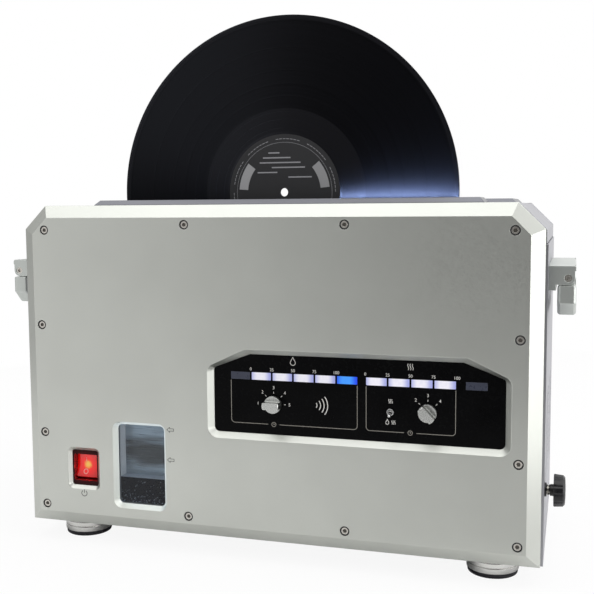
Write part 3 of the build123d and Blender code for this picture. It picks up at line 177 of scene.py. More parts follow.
# The level gauge behind its pane
BACK_SHEET = 0.3 * MM
BACK_CORNER = 4 * MM
GAUGE_MARGIN = 3.6 * MM
GAUGE_BACK = 19.2 * MM
# a painted dark reflection on the sheet behind the pane: its offset from the window's middle, its
# height and its size
PAINTED_SHADE_OFFSET = 3 * MM
PAINTED_SHADE_HEIGHT = 80.5 * MM
PAINTED_SHADE_SIZE = (45 * MM, 17 * MM)
BUBBLES = 120
BUBBLE_SEED = 11
BUBBLE_SIZES = (0.2 * MM, 0.46 * MM)
BUBBLE_CROWDING = 3.0
BUBBLE_START = 0.8 * MM
BUBBLE_CLEAR = 3 * MM

# Painted shade round the heads of the front screws, as dark rings in their seats, and as dark
# sheets at the bottom of all screws' sockets
SHADE_RING_RADII = (2.95 * MM, 3.95 * MM)
SHADE_RING_DEPTHS = (0.5 * MM, 2.9 * MM)
SHADE_RING_ROUND = 0.2 * MM
SHADE_RING_STEPS = 40
SOCKET_RADIUS = 1.68 * MM
SOCKET_DEPTH = 0.7 * MM
SOCKET_SHEET = 0.2 * MM

# The drain valve's thread
THREAD_PITCH = 1.5 * MM
THREAD_DEPTH = 0.8 * MM
THREAD_AROUND = 40
THREAD_RINGS = 8

# Edges rounded on the CAD pieces that show; their widths are in mm
FACET_ANGLE = radians(0.05)
EDGE_ANGLE = radians(30)
SHARP_ANGLES = {"front_panel": radians(20)}
FINE_ANGLE = radians(3)
WELD = 0.002 * MM
CLEANUPS = (("AREA", False), ("AREA", True), (None, True), (None, False))
FLIPPED_SLACK = 0.3 * MM * MM
EDGES = {
    "front_panel": 0.25, "rear_panel": 0.25, "top_cover": 0.25, "left_side_cover": 0.2,
    "right_side_cover": 0.2, "slot_surround": 0.3, "exhaust_cover": 0.2, "base_plate": 0.3,
    "handle_housings": 0.35, "left_handle_bail": 0.45, "right_handle_bail": 0.45,
    "handle_pins": 0.15, "front_panel_screws": 0.2, "rear_screws": 0.2, "feet": 0.25,
    "foot_pads": 0.5, "control_fascia": 0.12, "washing_knob": 0.25, "drying_knob": 0.25,
    "toggle_bushing": 0.2, "toggle_lever": 0.1, "power_switch_case": 0.25, "power_rocker": 0.4,
    "slot_liner": 0.2, "drain_valve_body": 0.3, "drain_valve_knob": 0.2, "mains_inlet": 0.3,
    "left_fan_rotor": 0.15, "right_fan_rotor": 0.15, "fan_frames": 0.3, "draining_light": 0.25,
    "idle_lights": 0.25, "progress_lights": 0.25, "level_window": 0.2,
}

# Finishes: colour as on a screen, roughness, and what sets the finish apart
METALS = {
    "panel_aluminium": ((203, 205, 199), 0.40, {"brushed": (0.3, 1, 1)}),
    "case_aluminium": ((168, 168, 173), 0.42, {"brushed": (1, 0.3, 1)}),
    "surround_aluminium": ((114, 115, 120), 0.32, {"brushed": (0.2, 1, 1)}),
    "chassis_steel": ((168, 170, 172), 0.4, {"grain": 2.0, "tone": 0.12}),
    "screw_steel": ((204, 200, 193), 0.3, {"wear": 0.5}),
    "foot_metal": ((222, 221, 218), 0.17, {"brushed": (1, 1, 6)}),
    "knob_metal": ((208, 209, 206), 0.28, {"brushed": (1, 1, 0.3)}),
    "toggle_metal": ((214, 214, 214), 0.1, {"relief": 0.003}),
    "handle_metal": ((200, 204, 200), 0.42, {"grain": 0.6, "relief": 0.02}),
    "tank_steel": ((150, 160, 172), 0.25, {"brushed": (0.2, 1, 4)}),
    "valve_brass": ((196, 194, 188), 0.2, {"tone": 0.1}),
    "transducer_metal": ((176, 178, 180), 0.35, {"tone": 0.1}),
    "shaft_steel": ((188, 190, 192), 0.2, {"brushed": (1, 0.2, 1)}),
    "box_steel": ((160, 164, 166), 0.45, {"grain": 2.5, "tone": 0.14}),
    "guard_chrome": ((206, 208, 210), 0.15, {"relief": 0.004}),
    "silver_ink": ((176, 176, 178), 0.4, {"relief": 0.004, "wear": 0.0}),
}
MOULDINGS = {
    "foot_rubber": ((18, 14, 24), 0.55, {"relief": 0.05}),
    "liner_black": ((26, 26, 28), 0.5, {}),
    "fascia_black": ((3, 3, 4), 0.24,
                     {"grain": 0.8, "relief": 0.001, "Specular_IOR_Level": 0.06}),
    "light_idle": ((52, 56, 72), 0.3, {"relief": 0.01}),
    # the switch case: dark, with a faint red tint that paints the rocker's glow on it
    "switch_black": ((12, 5, 7), 0.3, {"relief": 0.01, "Specular_IOR_Level": 0.1}),
    "pump_black": ((34, 36, 40), 0.45, {}),
    "pipe_grey": ((150, 152, 150), 0.4, {}),
    "valve_dark": ((12, 12, 16), 0.3, {"grain": 0.35, "relief": 0.015}),
    "roller_rubber": ((120, 120, 118), 0.6, {"relief": 0.04}),
    "duct_black": ((30, 30, 32), 0.5, {}),
    "fan_black": ((22, 22, 24), 0.42, {}),
    "inlet_black": ((20, 20, 22), 0.4, {}),
    "gauge_wall": ((240, 244, 250), 0.35, {"relief": 0.01}),
    "socket_shade": ((72, 68, 62), 0.5, {"relief": 0.0}),
    "bubble": ((150, 166, 190), 0.4, {"relief": 0.0}),
}
INKS = {
    "white_ink": (222, 220, 216), "dark_ink": (52, 54, 54), "line_ink": (150, 146, 138),
    "label_ink": (150, 150, 154), "mark_ink": (255, 170, 160),
}
# lit bars: the colour in their middle, and at their ends
WHITE_LIGHT = ((246, 244, 252), (150, 158, 226))
BLUE_LIGHT = ((64, 156, 255), (8, 50, 235))


def srgb(red, green, blue):
    """A colour given as 0 to 255 on a screen, as the linear values that shaders take."""
    channels = [c / 255 for c in (red, green, blue)]
    return [c / 12.92 if c <= 0.04045 else ((c + 0.055) / 1.055) ** 2.4 for c in channels] + [1.0]


def scaled(colour, share, lift=0.0):
    """A linear colour made darker or paler, up to white."""
    return [min(1.0, c * share + lift) for c in colour[:3]] + [1.0]


# Geometry

def added(name, data):
    """A new object in the scene: a mesh, a lamp or the like."""
    thing = bpy.data.objects.new(name, data)
    bpy.context.scene.collection.objects.link(thing)
    return thing


def meshed(name, mesh):
    """A new object in the scene, made of a bmesh, which it uses up."""
    data = bpy.data.meshes.new(name)
    mesh.to_mesh(data)
    mesh.free()
    return added(name, data)


def piece(name, mesh, body, material, smooth=None):
    """A piece made of a bmesh, on a body; smooth is the angle its sharp edges start at."""
    bmesh.ops.recalc_face_normals(mesh, faces=mesh.faces)
    thing = meshed(name, mesh)
    if smooth:
        thing.data.shade_smooth()
        thing.data.set_sharp_from_angle(angle=smooth)
    thing.data.materials.append(material)
    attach(thing, body)
    return thing


def body_of(node):
    """The body that carries a CAD node."""
    bodies = frame["record"]["behaviour"]["bodies"]
    return next(body for body, nodes in bodies.items() if node in nodes)


def slot_of(node):
    """The material slot of a CAD node that isn't repainted yet."""
    return frame["nodes"][node].data.materials[0].name


def middle(node):
    """The middle of a CAD node's box."""
    low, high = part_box(node)
    return (low + high) / 2


def record_centre():
    """The record's middle, at the height of its labels' middle."""
    centre = middle("record")
    centre.z = middle("record_labels").z
    return centre


def join_facets(mesh):
    """Joins flat neighbouring facets into whole faces."""
    bmesh.ops.dissolve_limit(mesh, angle_limit=FACET_ANGLE, verts=mesh.verts, edges=mesh.edges)


def welded(node, relay="AREA", again=False):
    """The CAD node's mesh with its facets joined into whole faces."""
    mesh = bmesh.new()
    mesh.from_mesh(frame["nodes"][node].data)
    bmesh.ops.remove_doubles(mesh, verts=mesh.verts, dist=WELD)
    if relay:
        flat = [edge for edge in mesh.edges
                if len(edge.link_faces) == 2 and edge.calc_face_angle() < FACET_ANGLE]
        bmesh.ops.beautify_fill(mesh, faces=mesh.faces, edges=flat, method=relay)
    join_facets(mesh)
    if again:
        many = [face for face in mesh.faces if len(face.verts) > 4]
        bmesh.ops.triangulate(mesh, faces=many, ngon_method="BEAUTY")
        join_facets(mesh)
    return mesh


def flipped_area(thing):
    """How much of a finished mesh would face the wrong way once it is cut into triangles."""
    data = thing.evaluated_get(bpy.context.evaluated_depsgraph_get()).to_mesh()
    data.calc_loop_triangles()
    return sum(triangle.area for triangle in data.loop_triangles
               if triangle.normal.dot(data.polygons[triangle.polygon_index].normal) < 0.5)


def with_soft_edges(node, width):
    """Stands for a CAD node: the same piece with rounded edges, by the cleanup that flips least."""
    tries = []
    for way in CLEANUPS:
        thing = rounded(node, width, welded(node, *way))
        tries.append((flipped_area(thing), len(tries), thing))
        if tries[-1][0] < FLIPPED_SLACK:
            break
    thing = min(tries)[2]
    for other in tries:
        if other[2] != thing:
            bpy.data.objects.remove(other[2])
    thing.name = node + "_finished"
    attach(thing, body_of(node))
    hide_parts(node)
    return thing


def rounded(node, width, mesh):
    """An object of that mesh with a rounding on its edges."""
    thing = meshed(node + "_finished", mesh)
    data = thing.data
    for attribute in [a for a in data.attributes if a.name == "custom_normal"]:
        data.attributes.remove(attribute)
    data.shade_smooth()
    data.set_sharp_from_angle(angle=SHARP_ANGLES.get(node, EDGE_ANGLE))
    edge = thing.modifiers.new("edges", "BEVEL")
    edge.width = width * MM
    edge.segments = 2
    edge.limit_method = "ANGLE"
    edge.angle_limit = EDGE_ANGLE
    edge.use_clamp_overlap = False
    edge.harden_normals = True
    bpy.context.view_layer.update()
    return thing


def islands(node):
    """The boxes of a CAD node's separate solids, from left to right."""
    mesh = welded(node)
    left = set(mesh.verts)
    boxes = []
    while left:
        stack = [left.pop()]
        found = []
        while stack:
            vertex = stack.pop()
            found.append(vertex.co.copy())
            for edge in vertex.link_edges:
                other = edge.other_vert(vertex)
                if other in left:
                    left.remove(other)
                    stack.append(other)
        low = Vector([min(p[i] for p in found) for i in range(3)])
        high = Vector([max(p[i] for p in found) for i in range(3)])
        boxes.append((low, high))
    mesh.free()
    return sorted(boxes, key=lambda box: box[0].x)


def turned(mesh, profile, centre, steps):
    """Adds a ring turned about an axis along Y; the profile is a loop of (radius, depth)."""
    rings = []
    for step in range(steps):
        angle = tau * step / steps
        across = Vector((cos(angle), 0, sin(angle)))
        rings.append([mesh.verts.new(centre + across * radius + Vector((0, depth, 0)))
                      for radius, depth in profile])
    for step, ring in enumerate(rings):
        after = rings[(step + 1) % steps]
        for place in range(len(profile)):
            beside = (place + 1) % len(profile)
            mesh.faces.new((ring[place], ring[beside], after[beside], after[place]))


def prism(mesh, outline, y, depth):
    """Adds a plate to a bmesh: an outline of (x, z) points at y, with a thickness along Y."""
    face = mesh.faces.new([mesh.verts.new((x, y, z)) for x, z in outline])
    raised = bmesh.ops.extrude_face_region(mesh, geom=[face])["geom"]
    moved = [g for g in raised if isinstance(g, bmesh.types.BMVert)]
    bmesh.ops.translate(mesh, verts=moved, vec=(0, depth, 0))


def line(mesh, points, width, y, depth=INK, closed=False):
    """Adds a printed line to a bmesh: a mitred strip along (x, z) points."""
    places = [Vector(p) for p in points]
    count = len(places)
    sides = []
    for index, place in enumerate(places):
        before = places[index - 1] if closed or index else None
        after = places[(index + 1) % count] if closed or index < count - 1 else None
        into = (place - before if before is not None else after - place).normalized()
        out = (after - place).normalized() if after is not None else into
        normal = Vector((-into.y - out.y, into.x + out.x)).normalized()
        reach = width / 2 / max(0.3, normal.dot(Vector((-into.y, into.x))))
        sides.append((place + normal * reach, place - normal * reach))
    for index in range(count if closed else count - 1):
        first, second = sides[index], sides[(index + 1) % count]
        prism(mesh, [first[0], second[0], second[1], first[1]], y, depth)


def arc(centre, radius, start, end, steps=8):
    """Points (x, z) along an arc; angles in degrees, from +X towards +Z."""
    angles = [radians(start + (end - start) * i / steps) for i in range(steps + 1)]
    return [(centre[0] + radius * cos(a), centre[1] + radius * sin(a)) for a in angles]


def circle(centre, radius, steps):
    """Points (x, z) all round, for a closed line."""
    return arc(centre, radius, 0, 360, steps)[:-1]


def lettering(mesh, text, size, centre, y):
    """Adds plain raised characters to a bmesh, facing -Y and centred on (x, z)."""
    curve = bpy.data.curves.new("text", "FONT")
    curve.body = text
    curve.size = size
    curve.extrude = INK / 2
    curve.align_x = "CENTER"
    curve.align_y = "CENTER"
    thing = added("text", curve)
    data = bpy.data.meshes.new_from_object(
        thing.evaluated_get(bpy.context.evaluated_depsgraph_get()))
    data.transform(Matrix.Translation((centre[0], y + INK / 2, centre[1]))
                   @ Matrix.Rotation(pi / 2, 4, "X"))
    mesh.from_mesh(data)
    bpy.data.objects.remove(thing)
    bpy.data.meshes.remove(data)


# Materials

class Nodes:
    """Adds shader nodes to a tree. Its methods return the socket to link on."""

    def __init__(self, tree):
        self.tree = tree

    def plug(self, socket, value):
        """Links a socket in, or sets a value that is the same all over."""
        if isinstance(value, bpy.types.NodeSocket):
            self.tree.links.new(value, socket)
        else:
            socket.default_value = value

    def add(self, kind, inputs=None, **settings):
        """A new node of a kind such as Math; inputs are by name or number."""
        node = self.tree.nodes.new("ShaderNode" + kind)
        for name, value in settings.items():
            setattr(node, name, value)
        for key, value in (inputs or {}).items():
            self.plug(node.inputs[key], value)
        return node

    def math(self, operation, first, second=0.0, clamp=False):
        return self.add("Math", {0: first, 1: second}, operation=operation,
                        use_clamp=clamp).outputs[0]

    def spread(self, value, start=0.3, end=0.7, low=0.0, high=1.0, smooth=False):
        """A value from start to end, as one from low to high; most noise lies from 0.3 to 0.7."""
        return self.add("MapRange", {0: value, 1: start, 2: end, 3: low, 4: high},
                        interpolation_type="SMOOTHSTEP" if smooth else "LINEAR").outputs[0]

    def vector(self, operation, first, second=(0, 0, 0), scale=1.0):
        """Two vectors put together; its first output is a vector and its second a number."""
        return self.add("VectorMath", {0: first, 1: second, 3: scale},
                        operation=operation).outputs

    def mix(self, factor, first, second):
        """A number between two others."""
        return self.add("Mix", {"Factor": factor, "A": first, "B": second}).outputs[0]

    def mix_shaders(self, factor, first, second):
        """What the surface shows: two shaders, mixed."""
        both = self.add("MixShader", {0: factor, 1: first.outputs[0],
                                      2: second.outputs[0]}).outputs[0]
        self.tree.links.new(both, self.tree.nodes["Material Output"].inputs["Surface"])


class Finish(Nodes):
    """A procedural material round one Principled shader."""

    def __init__(self, name, colour, roughness, metallic=0.0, **constants):
        self.material = bpy.data.materials.new(name)
        self.material.use_nodes = True
        super().__init__(self.material.node_tree)
        self.shader = self.tree.nodes["Principled BSDF"]
        self.set(Base_Color=colour, Roughness=roughness, Metallic=metallic, **constants)
        self.place = self.add("TexCoord").outputs["Object"]

    def set(self, **sockets):
        """Sets or links the shader's own sockets, with _ for a space in a name."""
        for name, value in sockets.items():
            self.plug(self.shader.inputs[name.replace("_", " ")], value)

    def moved(self, offset=(0, 0, 0), stretch=(1, 1, 1)):
        """Object coordinates less an offset, then scaled."""
        less = self.vector("SUBTRACT", self.place, offset)[0]
        return self.vector("MULTIPLY", less, stretch)[0]

    def distance(self, point, stretch=(1, 1, 1)):
        """How far a place on the surface is from a point, with each axis scaled."""
        return self.vector("LENGTH", self.moved(point, stretch))[1]

    def noise(self, size, detail=2.0, stretch=(1, 1, 1)):
        """Noise whose features are about size across, in metres."""
        return self.add("TexNoise", {"Vector": self.moved(stretch=stretch), "Scale": 1 / size,
                                     "Detail": detail}).outputs["Fac"]

    def blend(self, factor, first, second, mode="MIX"):
        """A colour between two others."""
        return self.add("Mix", {"Factor": factor, 6: first, 7: second},
                        data_type="RGBA", blend_type=mode).outputs[2]

    def bump(self, height, depth, strength=1.0):
        """Relief; depth is its height in metres."""
        self.set(Normal=self.add("Bump", {"Height": height, "Distance": depth,
                                          "Strength": strength}).outputs[0])

    def edges(self, width):
        """1 on edges within that width, 0 elsewhere, for wear and polish."""
        soft = self.add("Bevel", {"Radius": width}, samples=4).outputs[0]
        flat = self.add("NewGeometry").outputs["Normal"]
        return self.spread(self.vector("DOT_PRODUCT", soft, flat)[1], 0.999, 0.93)

    def axis(self, name, vector=None):
        """One coordinate of the surface's place, or of another vector."""
        return self.add("SeparateXYZ", {0: vector or self.place}).outputs[name]


def satin_metal(name, colour, roughness, grain=0.4, relief=0.012, brushed=(1, 1, 1), wear=0.25,
                tone=0.06):
    """Anodised or plated metal: grained gloss, cloudy tone, polished edges. Sizes in mm."""
    finish = Finish(name, colour, roughness, metallic=1.0)
    fine = finish.noise(grain * MM, 3.0, brushed)
    cloud = finish.noise(55 * MM)
    pale = scaled(colour, 1 + tone)
    tint = finish.blend(cloud, scaled(colour, 1 - tone), pale)
    grained = finish.blend(finish.spread(fine, high=tone), tint, pale, "SCREEN")
    edge = finish.edges(0.5 * MM)
    worn = finish.math("MULTIPLY", edge, wear)
    finish.set(Base_Color=finish.blend(worn, grained, scaled(colour, 1.25)))
    gloss = finish.spread(fine, 0.25, 0.75, roughness - 0.05, roughness + 0.06)
    polish = finish.math("MULTIPLY", edge, wear * 0.4)
    finish.set(Roughness=finish.math("SUBTRACT", gloss, polish))
    finish.bump(fine, relief * MM)
    return finish.material


def moulded(name, colour, roughness, grain=0.5, relief=0.02, **constants):
    """Plastic, rubber or lacquer: fine texture, uneven tone, slightly rubbed edges."""
    finish = Finish(name, colour, roughness, **constants)
    fine = finish.noise(grain * MM)
    cloud = finish.noise(18 * MM, 3.0)
    tint = finish.blend(cloud, scaled(colour, 0.75), scaled(colour, 1.25, 0.002))
    rubbed = finish.math("MULTIPLY", finish.edges(0.4 * MM), 0.5)
    finish.set(Base_Color=finish.blend(rubbed, tint, scaled(colour, 1.5, 0.015)))
    gloss = finish.noise(3 * MM, 3.0)
    finish.set(Roughness=finish.spread(gloss, low=roughness - 0.06, high=roughness + 0.08))
    finish.bump(fine, relief * MM)
    return finish.material


def vinyl():
    """Record vinyl: fine grooves in the bands, plain in the run-out and lead-in, which have a paler
    colour as a painted sheen.
    """
    finish = Finish("record_vinyl", srgb(5, 5, 7), 0.4, Specular_IOR_Level=0.05, Anisotropic=0.8,
                    Anisotropic_Rotation=0.25)
    finish.set(Tangent=finish.add("Tangent", direction_type="RADIAL", axis="Y").outputs[0])
    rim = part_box("record")[1].x
    radius = finish.distance(record_centre(), (1, 0, 1))
    outward = finish.add("CombineXYZ", {"X": radius}).outputs[0]
    bands, lines = [
        finish.add("TexNoise", {"Vector": outward, "Scale": scale, "Detail": detail}).outputs["Fac"]
        for scale, detail in ((GROOVE_BANDS, 4.0), (GROOVE_LINES, 2.0))]
    inner = finish.spread(radius, RUN_OUT_EDGE - 0.5 * MM, RUN_OUT_EDGE + 0.5 * MM)
    outer = finish.spread(radius, rim - LEAD_IN[0], rim - LEAD_IN[1])
    grooved = finish.math("MULTIPLY", inner, outer)
    tone = finish.blend(finish.spread(bands), srgb(4, 4, 6), srgb(7, 7, 10))
    # painted sheen: the plain run-out and lead-in are paler than the grooves
    finish.set(Base_Color=finish.blend(grooved, srgb(21, 21, 24), tone))
    gloss = finish.spread(bands, low=0.40, high=0.48)
    finish.set(Roughness=finish.mix(grooved, 0.38, gloss))
    finish.bump(finish.math("MULTIPLY", lines, grooved), 0.03 * MM, 0.6)
    return finish.material


def glass_pane():
    """Clear pane with faint smears; it lets lamp light through to what is behind."""
    finish = Finish("pane_clear", srgb(234, 239, 243), 0.03, IOR=1.38, Transmission_Weight=1.0)
    smear = finish.noise(30 * MM, 3.0, (1, 1, 0.3))
    finish.set(Roughness=finish.spread(smear, 0.35, 0.75, 0.02, 0.09))
    finish.bump(finish.noise(60 * MM), 0.05 * MM, 0.3)
    clear = finish.add("BsdfTransparent", {"Color": srgb(238, 242, 246)})
    shadow = finish.add("LightPath").outputs["Is Shadow Ray"]
    finish.mix_shaders(shadow, finish.shader, clear)
    return finish.material


def still_water():
    """Tank water: deep blue and a little cloudy, with a painted pale reflection on its upward
    faces.
    """
    finish = Finish("water", srgb(22, 30, 48), 0.05, IOR=1.33, Specular_IOR_Level=0.5)
    cloud = finish.noise(14 * MM, 4.0, (1, 1, 0.5))
    deep = finish.blend(cloud, srgb(14, 20, 34), srgb(40, 52, 76))
    # painted reflection: faces that look up are paler
    facing = finish.axis("Z", finish.add("NewGeometry").outputs["Normal"])
    finish.set(Base_Color=finish.blend(finish.spread(facing, 0.5, 0.9), deep,
                                       srgb(170, 182, 198)))
    finish.bump(finish.noise(9 * MM), 0.2 * MM, 0.3)
    return finish.material


def gauge_steel():
    """Steel brushed along X, with a painted dark reflection: a dull patch with uneven edges."""
    shade_centre = (middle("level_window").x + PAINTED_SHADE_OFFSET, 0, PAINTED_SHADE_HEIGHT)
    colour = srgb(168, 185, 199)
    finish = Finish("gauge_steel", colour, 0.3, metallic=0.7)
    brushed = finish.noise(1.1 * MM, 4.0, (0.04, 1, 1))
    streaks = finish.noise(7 * MM, 3.0, (0.12, 1, 1))
    away = finish.distance(shade_centre, (1 / PAINTED_SHADE_SIZE[0], 0, 1 / PAINTED_SHADE_SIZE[1]))
    edge = finish.math("ADD", away, finish.spread(streaks, low=-0.25, high=0.25))
    # painted dark reflection: the colour goes down to a tenth in the patch
    clear = finish.spread(edge, 0.4, 1.1, 0.10, 1.0, smooth=True)
    tint = finish.blend(brushed, scaled(colour, 0.62), colour)
    finish.set(Base_Color=finish.vector("SCALE", tint, scale=clear)[0],
               Roughness=finish.spread(brushed, low=0.24, high=0.42))
    finish.bump(brushed, 0.03 * MM)
    return finish.material


def lit_bar(name, colours, start, strength, pitch, width):
    """Backlit bars, bright in the middle and tinted at the ends; the first is at start."""
    bright, tinted = [srgb(*colour) for colour in colours]
    finish = Finish(name, scaled(bright, 0.12), 0.25, Coat_Weight=0.3)
    along = finish.math("DIVIDE", finish.math("SUBTRACT", finish.axis("X"), start), pitch)
    along = finish.math("DIVIDE", finish.math("FRACT", along), width / pitch)
    off = finish.math("ABSOLUTE", finish.math("SUBTRACT", along, 0.45))
    glow = finish.spread(off, 0.15, 0.55, 1.0, 0.0, smooth=True)
    mottle = finish.noise(2.5 * MM)
    glow = finish.math("MULTIPLY", glow, finish.spread(mottle, low=0.85))
    finish.set(Emission_Color=finish.blend(glow, tinted, bright), Emission_Strength=strength)
    finish.bump(mottle, 0.02 * MM)
    return finish.material


def rocker_lens():
    """Red rocker with its lamp behind the middle: yellow at the lamp, red around it."""
    hot = middle("power_rocker") + Vector(ROCKER_HOT)
    finish = Finish("rocker_red", srgb(190, 10, 12), 0.12, Coat_Weight=0.6, Coat_Roughness=0.05)
    ripple = finish.noise(2.2 * MM)
    uneven = finish.spread(ripple, low=-0.6 * MM, high=0.6 * MM)
    reach = finish.math("ADD", finish.distance(hot, (1, 0, 1)), uneven)
    warm = finish.spread(reach, 0.8 * MM, 4.8 * MM, 1.0, 0.0, smooth=True)
    wide = finish.spread(reach, 4 * MM, 15 * MM, 1.0, 0.0, smooth=True)
    red = finish.blend(wide, srgb(120, 0, 4), srgb(255, 28, 24))
    finish.set(Emission_Color=finish.blend(warm, red, srgb(255, 236, 100)),
               Emission_Strength=0.54)
    finish.set(Base_Color=finish.blend(ripple, srgb(150, 6, 8), srgb(190, 12, 12)))
    finish.bump(finish.noise(0.8 * MM), 0.01 * MM)
    return finish.material


def printed_ink(name, colour):
    """Screen-printed ink: matt, with tiny pinholes and an uneven tone."""
    finish = Finish(name, colour, 0.55)
    speck = finish.noise(0.25 * MM)
    finish.set(Base_Color=finish.blend(finish.spread(speck, 0.3, 0.6), scaled(colour, 0.75),
                                       colour))
    finish.bump(speck, 0.01 * MM)
    return finish.material


def circuit_board():
    """Green lacquered board with faint copper tracks."""
    finish = Finish("board_green", srgb(20, 84, 48), 0.35, Coat_Weight=0.4)
    tracks = finish.add("TexBrick", {"Vector": finish.place, "Scale": 180.0,
                                     "Mortar Size": 0.012}).outputs["Fac"]
    finish.set(Base_Color=finish.blend(tracks, srgb(18, 74, 44), srgb(46, 120, 70)))
    finish.bump(tracks, 0.03 * MM)
    return finish.material


def label_paper():
    """Dark label paper with fine fibres."""
    colour = srgb(32, 32, 35)
    finish = Finish("label_paper", colour, 0.6)
    fibre = finish.noise(0.6 * MM, 4.0, (1, 1, 2.5))
    finish.set(Base_Color=finish.blend(fibre, scaled(colour, 0.7), colour))
    finish.bump(fibre, 0.03 * MM)
    return finish.material


def finishes():
    """Every finish by name; most names are the record's slots."""
    made = {name: satin_metal(name, srgb(*colour), roughness, **rest)
            for name, (colour, roughness, rest) in METALS.items()}
    made |= {name: moulded(name, srgb(*colour), roughness, **rest)
             for name, (colour, roughness, rest) in MOULDINGS.items()}
    made |= {name: printed_ink(name, srgb(*colour)) for name, colour in INKS.items()}
    made |= {
        "board_green": circuit_board(),
        "pane_clear": glass_pane(),
        "water": still_water(),
        "label_paper": label_paper(),
        "record_vinyl": vinyl(),
        "rocker_red": rocker_lens(),
        "gauge_steel": gauge_steel(),
    }
    lights = islands("progress_lights")
    size = (lights[1][0].x - lights[0][0].x, lights[0][1].x - lights[0][0].x)
    bars = {
        "washing_white": (WHITE_LIGHT, lights[0][0].x, 0.8),
        "drying_white": (WHITE_LIGHT, lights[4][0].x, 0.86),
        "light_blue": (BLUE_LIGHT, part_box("draining_light")[0].x, 0.9),
    }
    return made | {name: lit_bar(name, *bar, *size) for name, bar in bars.items()}


def repaint(thing, *materials):
    """Swaps an object's materials for these."""
    thing.data.materials.clear()
    for material in materials:
        thing.data.materials.append(material)


def dress_cad_nodes(made):
    """Soft edges on the pieces that show, and finishes on all."""
    for node, thing in frame["nodes"].items():
        slot = slot_of(node)
        if node in EDGES:
            thing = with_soft_edges(node, EDGES[node])
        if slot in made:
            repaint(thing, made[slot])
    repaint(frame["nodes"]["gauge_housing"], made["gauge_wall"])
    repaint(bpy.data.objects["exhaust_cover_finished"], made["surround_aluminium"])
    lens = bpy.data.objects["progress_lights_finished"]
    repaint(lens, made["washing_white"], made["drying_white"])
    between = middle("draining_light").x
    for face in lens.data.polygons:
        face.material_index = int(face.center.x > between)


# Pieces

def record_disc(material):
    """The record: a thick middle, run-out, bands with gaps between, and a beaded rim."""
    low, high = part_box("record")
    centre = record_centre()
    radius = high.z - centre.z
    bead = (high.y - low.y) / 2
    land = bead - RECORD_STEP
    side = [(SPINDLE_HOLE, bead - SPINDLE_ROUND), (SPINDLE_HOLE + SPINDLE_ROUND, bead),
            (LABEL_RADIUS, bead)]
    side += [(LABEL_RADIUS + out, land + up) for out, up in LABEL_SLOPE]
    for ring in RUN_OUT_RINGS:
        side += [(ring - RING_HALF, land), (ring, land - RING_DEPTH), (ring + RING_HALF, land)]
    for start, end in zip(BAND_EDGES, BAND_EDGES[1:]):
        low_start, low_end = start + BAND_GAP + BAND_SLOPE, end - BAND_SLOPE
        side += [(start, land), (start + BAND_GAP, land), (low_start, land - BAND_DEPTH),
                 (low_end, land - BAND_DEPTH)]
    side += [(BAND_EDGES[-1], land), (radius - RIM_LAND, land)]
    side += [(radius - inward, bead - drop) for inward, drop in RIM_BEAD]
    profile = [(r, -depth) for r, depth in side] + side[::-1]
    mesh = bmesh.new()
    turned(mesh, profile, centre, RECORD_STEPS)
    disc = piece("record_disc", mesh, "record", material, FINE_ANGLE)
    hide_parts("record")


def on_label(name, mesh, turn, material):
    """A print drawn about (0, 0), put on the record's label; turn is -1 on its back."""
    centre = record_centre()
    for vertex in mesh.verts:
        vertex.co.x = centre.x + vertex.co.x * turn
        vertex.co.z += centre.z
    piece(name, mesh, "record", material)


def label_print(material, silver):
    """A plain label design: a ring of dashes, a thin ring, short bars, silver sectors."""
    low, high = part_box("record_labels")
    radius, span, width = LABEL_DASH
    for side, y, turn in (("front", low.y - INK, 1), ("back", high.y, -1)):
        ink = bmesh.new()
        for dash in range(LABEL_DASHES):
            angle = 360 * dash / LABEL_DASHES
            if dash % LABEL_DASH_GROUP not in LABEL_DASH_GAPS:
                line(ink, arc((0, 0), radius, angle, angle + span, 2), width, y)
        line(ink, circle((0, 0), LABEL_RING[0], 72), LABEL_RING[1], y, closed=True)
        for row, (left, right) in enumerate(LABEL_ROWS):
            z = LABEL_ROW_TOP - row * LABEL_ROW_STEP
            line(ink, [(left * MM, z), (right * MM, z)], LABEL_ROW_WIDTH, y)
        on_label("label_print_" + side, ink, turn, material)
        sectors = bmesh.new()
        outer, inner = LABEL_SECTOR_RADII
        for start, end in LABEL_SECTORS:
            outline = arc((0, 0), outer, start, end, 16) + arc((0, 0), inner, end, start, 16)
            prism(sectors, outline, y, INK)
        on_label("label_sectors_" + side, sectors, turn, silver)


def droplet(mesh, centre, size, y):
    """Outline of a water drop."""
    x, z = centre
    points = [(x, z + size * 0.62)] + arc((x, z - size * 0.12), size * 0.36, 20, -200, 14)
    line(mesh, points, INK_LINE, y, closed=True)


def air_waves(mesh, centre, size, y):
    """Three short wavy lines, side by side."""
    for row in (-1, 0, 1):
        points = [(centre[0] + row * size * 0.36 + sin(t / 8 * tau) * size * 0.09,
                   centre[1] + size * (t / 8 - 0.5)) for t in range(9)]
        line(mesh, points, INK_LINE, y)


def bracket(mesh, left, right, top, bottom, gap, y):
    """A bracket under a row of lights, its lower line open round a clock at x = gap."""
    corner = BRACKET_CORNER
    line(mesh, [(left, top)] + arc((left + corner, bottom + corner), corner, 180, 270)
         + [(gap - BRACKET_GAP, bottom)], INK_LINE, y)
    line(mesh, [(gap + BRACKET_GAP, bottom)]
         + arc((right - corner, bottom + corner), corner, 270, 360) + [(right, top)], INK_LINE, y)
    line(mesh, circle((gap, bottom), CLOCK_SIZE / 2, 24), INK_LINE, y, closed=True)
    line(mesh, [(gap, bottom + CLOCK_SIZE * 0.3), (gap, bottom),
                (gap + CLOCK_SIZE * 0.22, bottom)], INK_LINE, y)


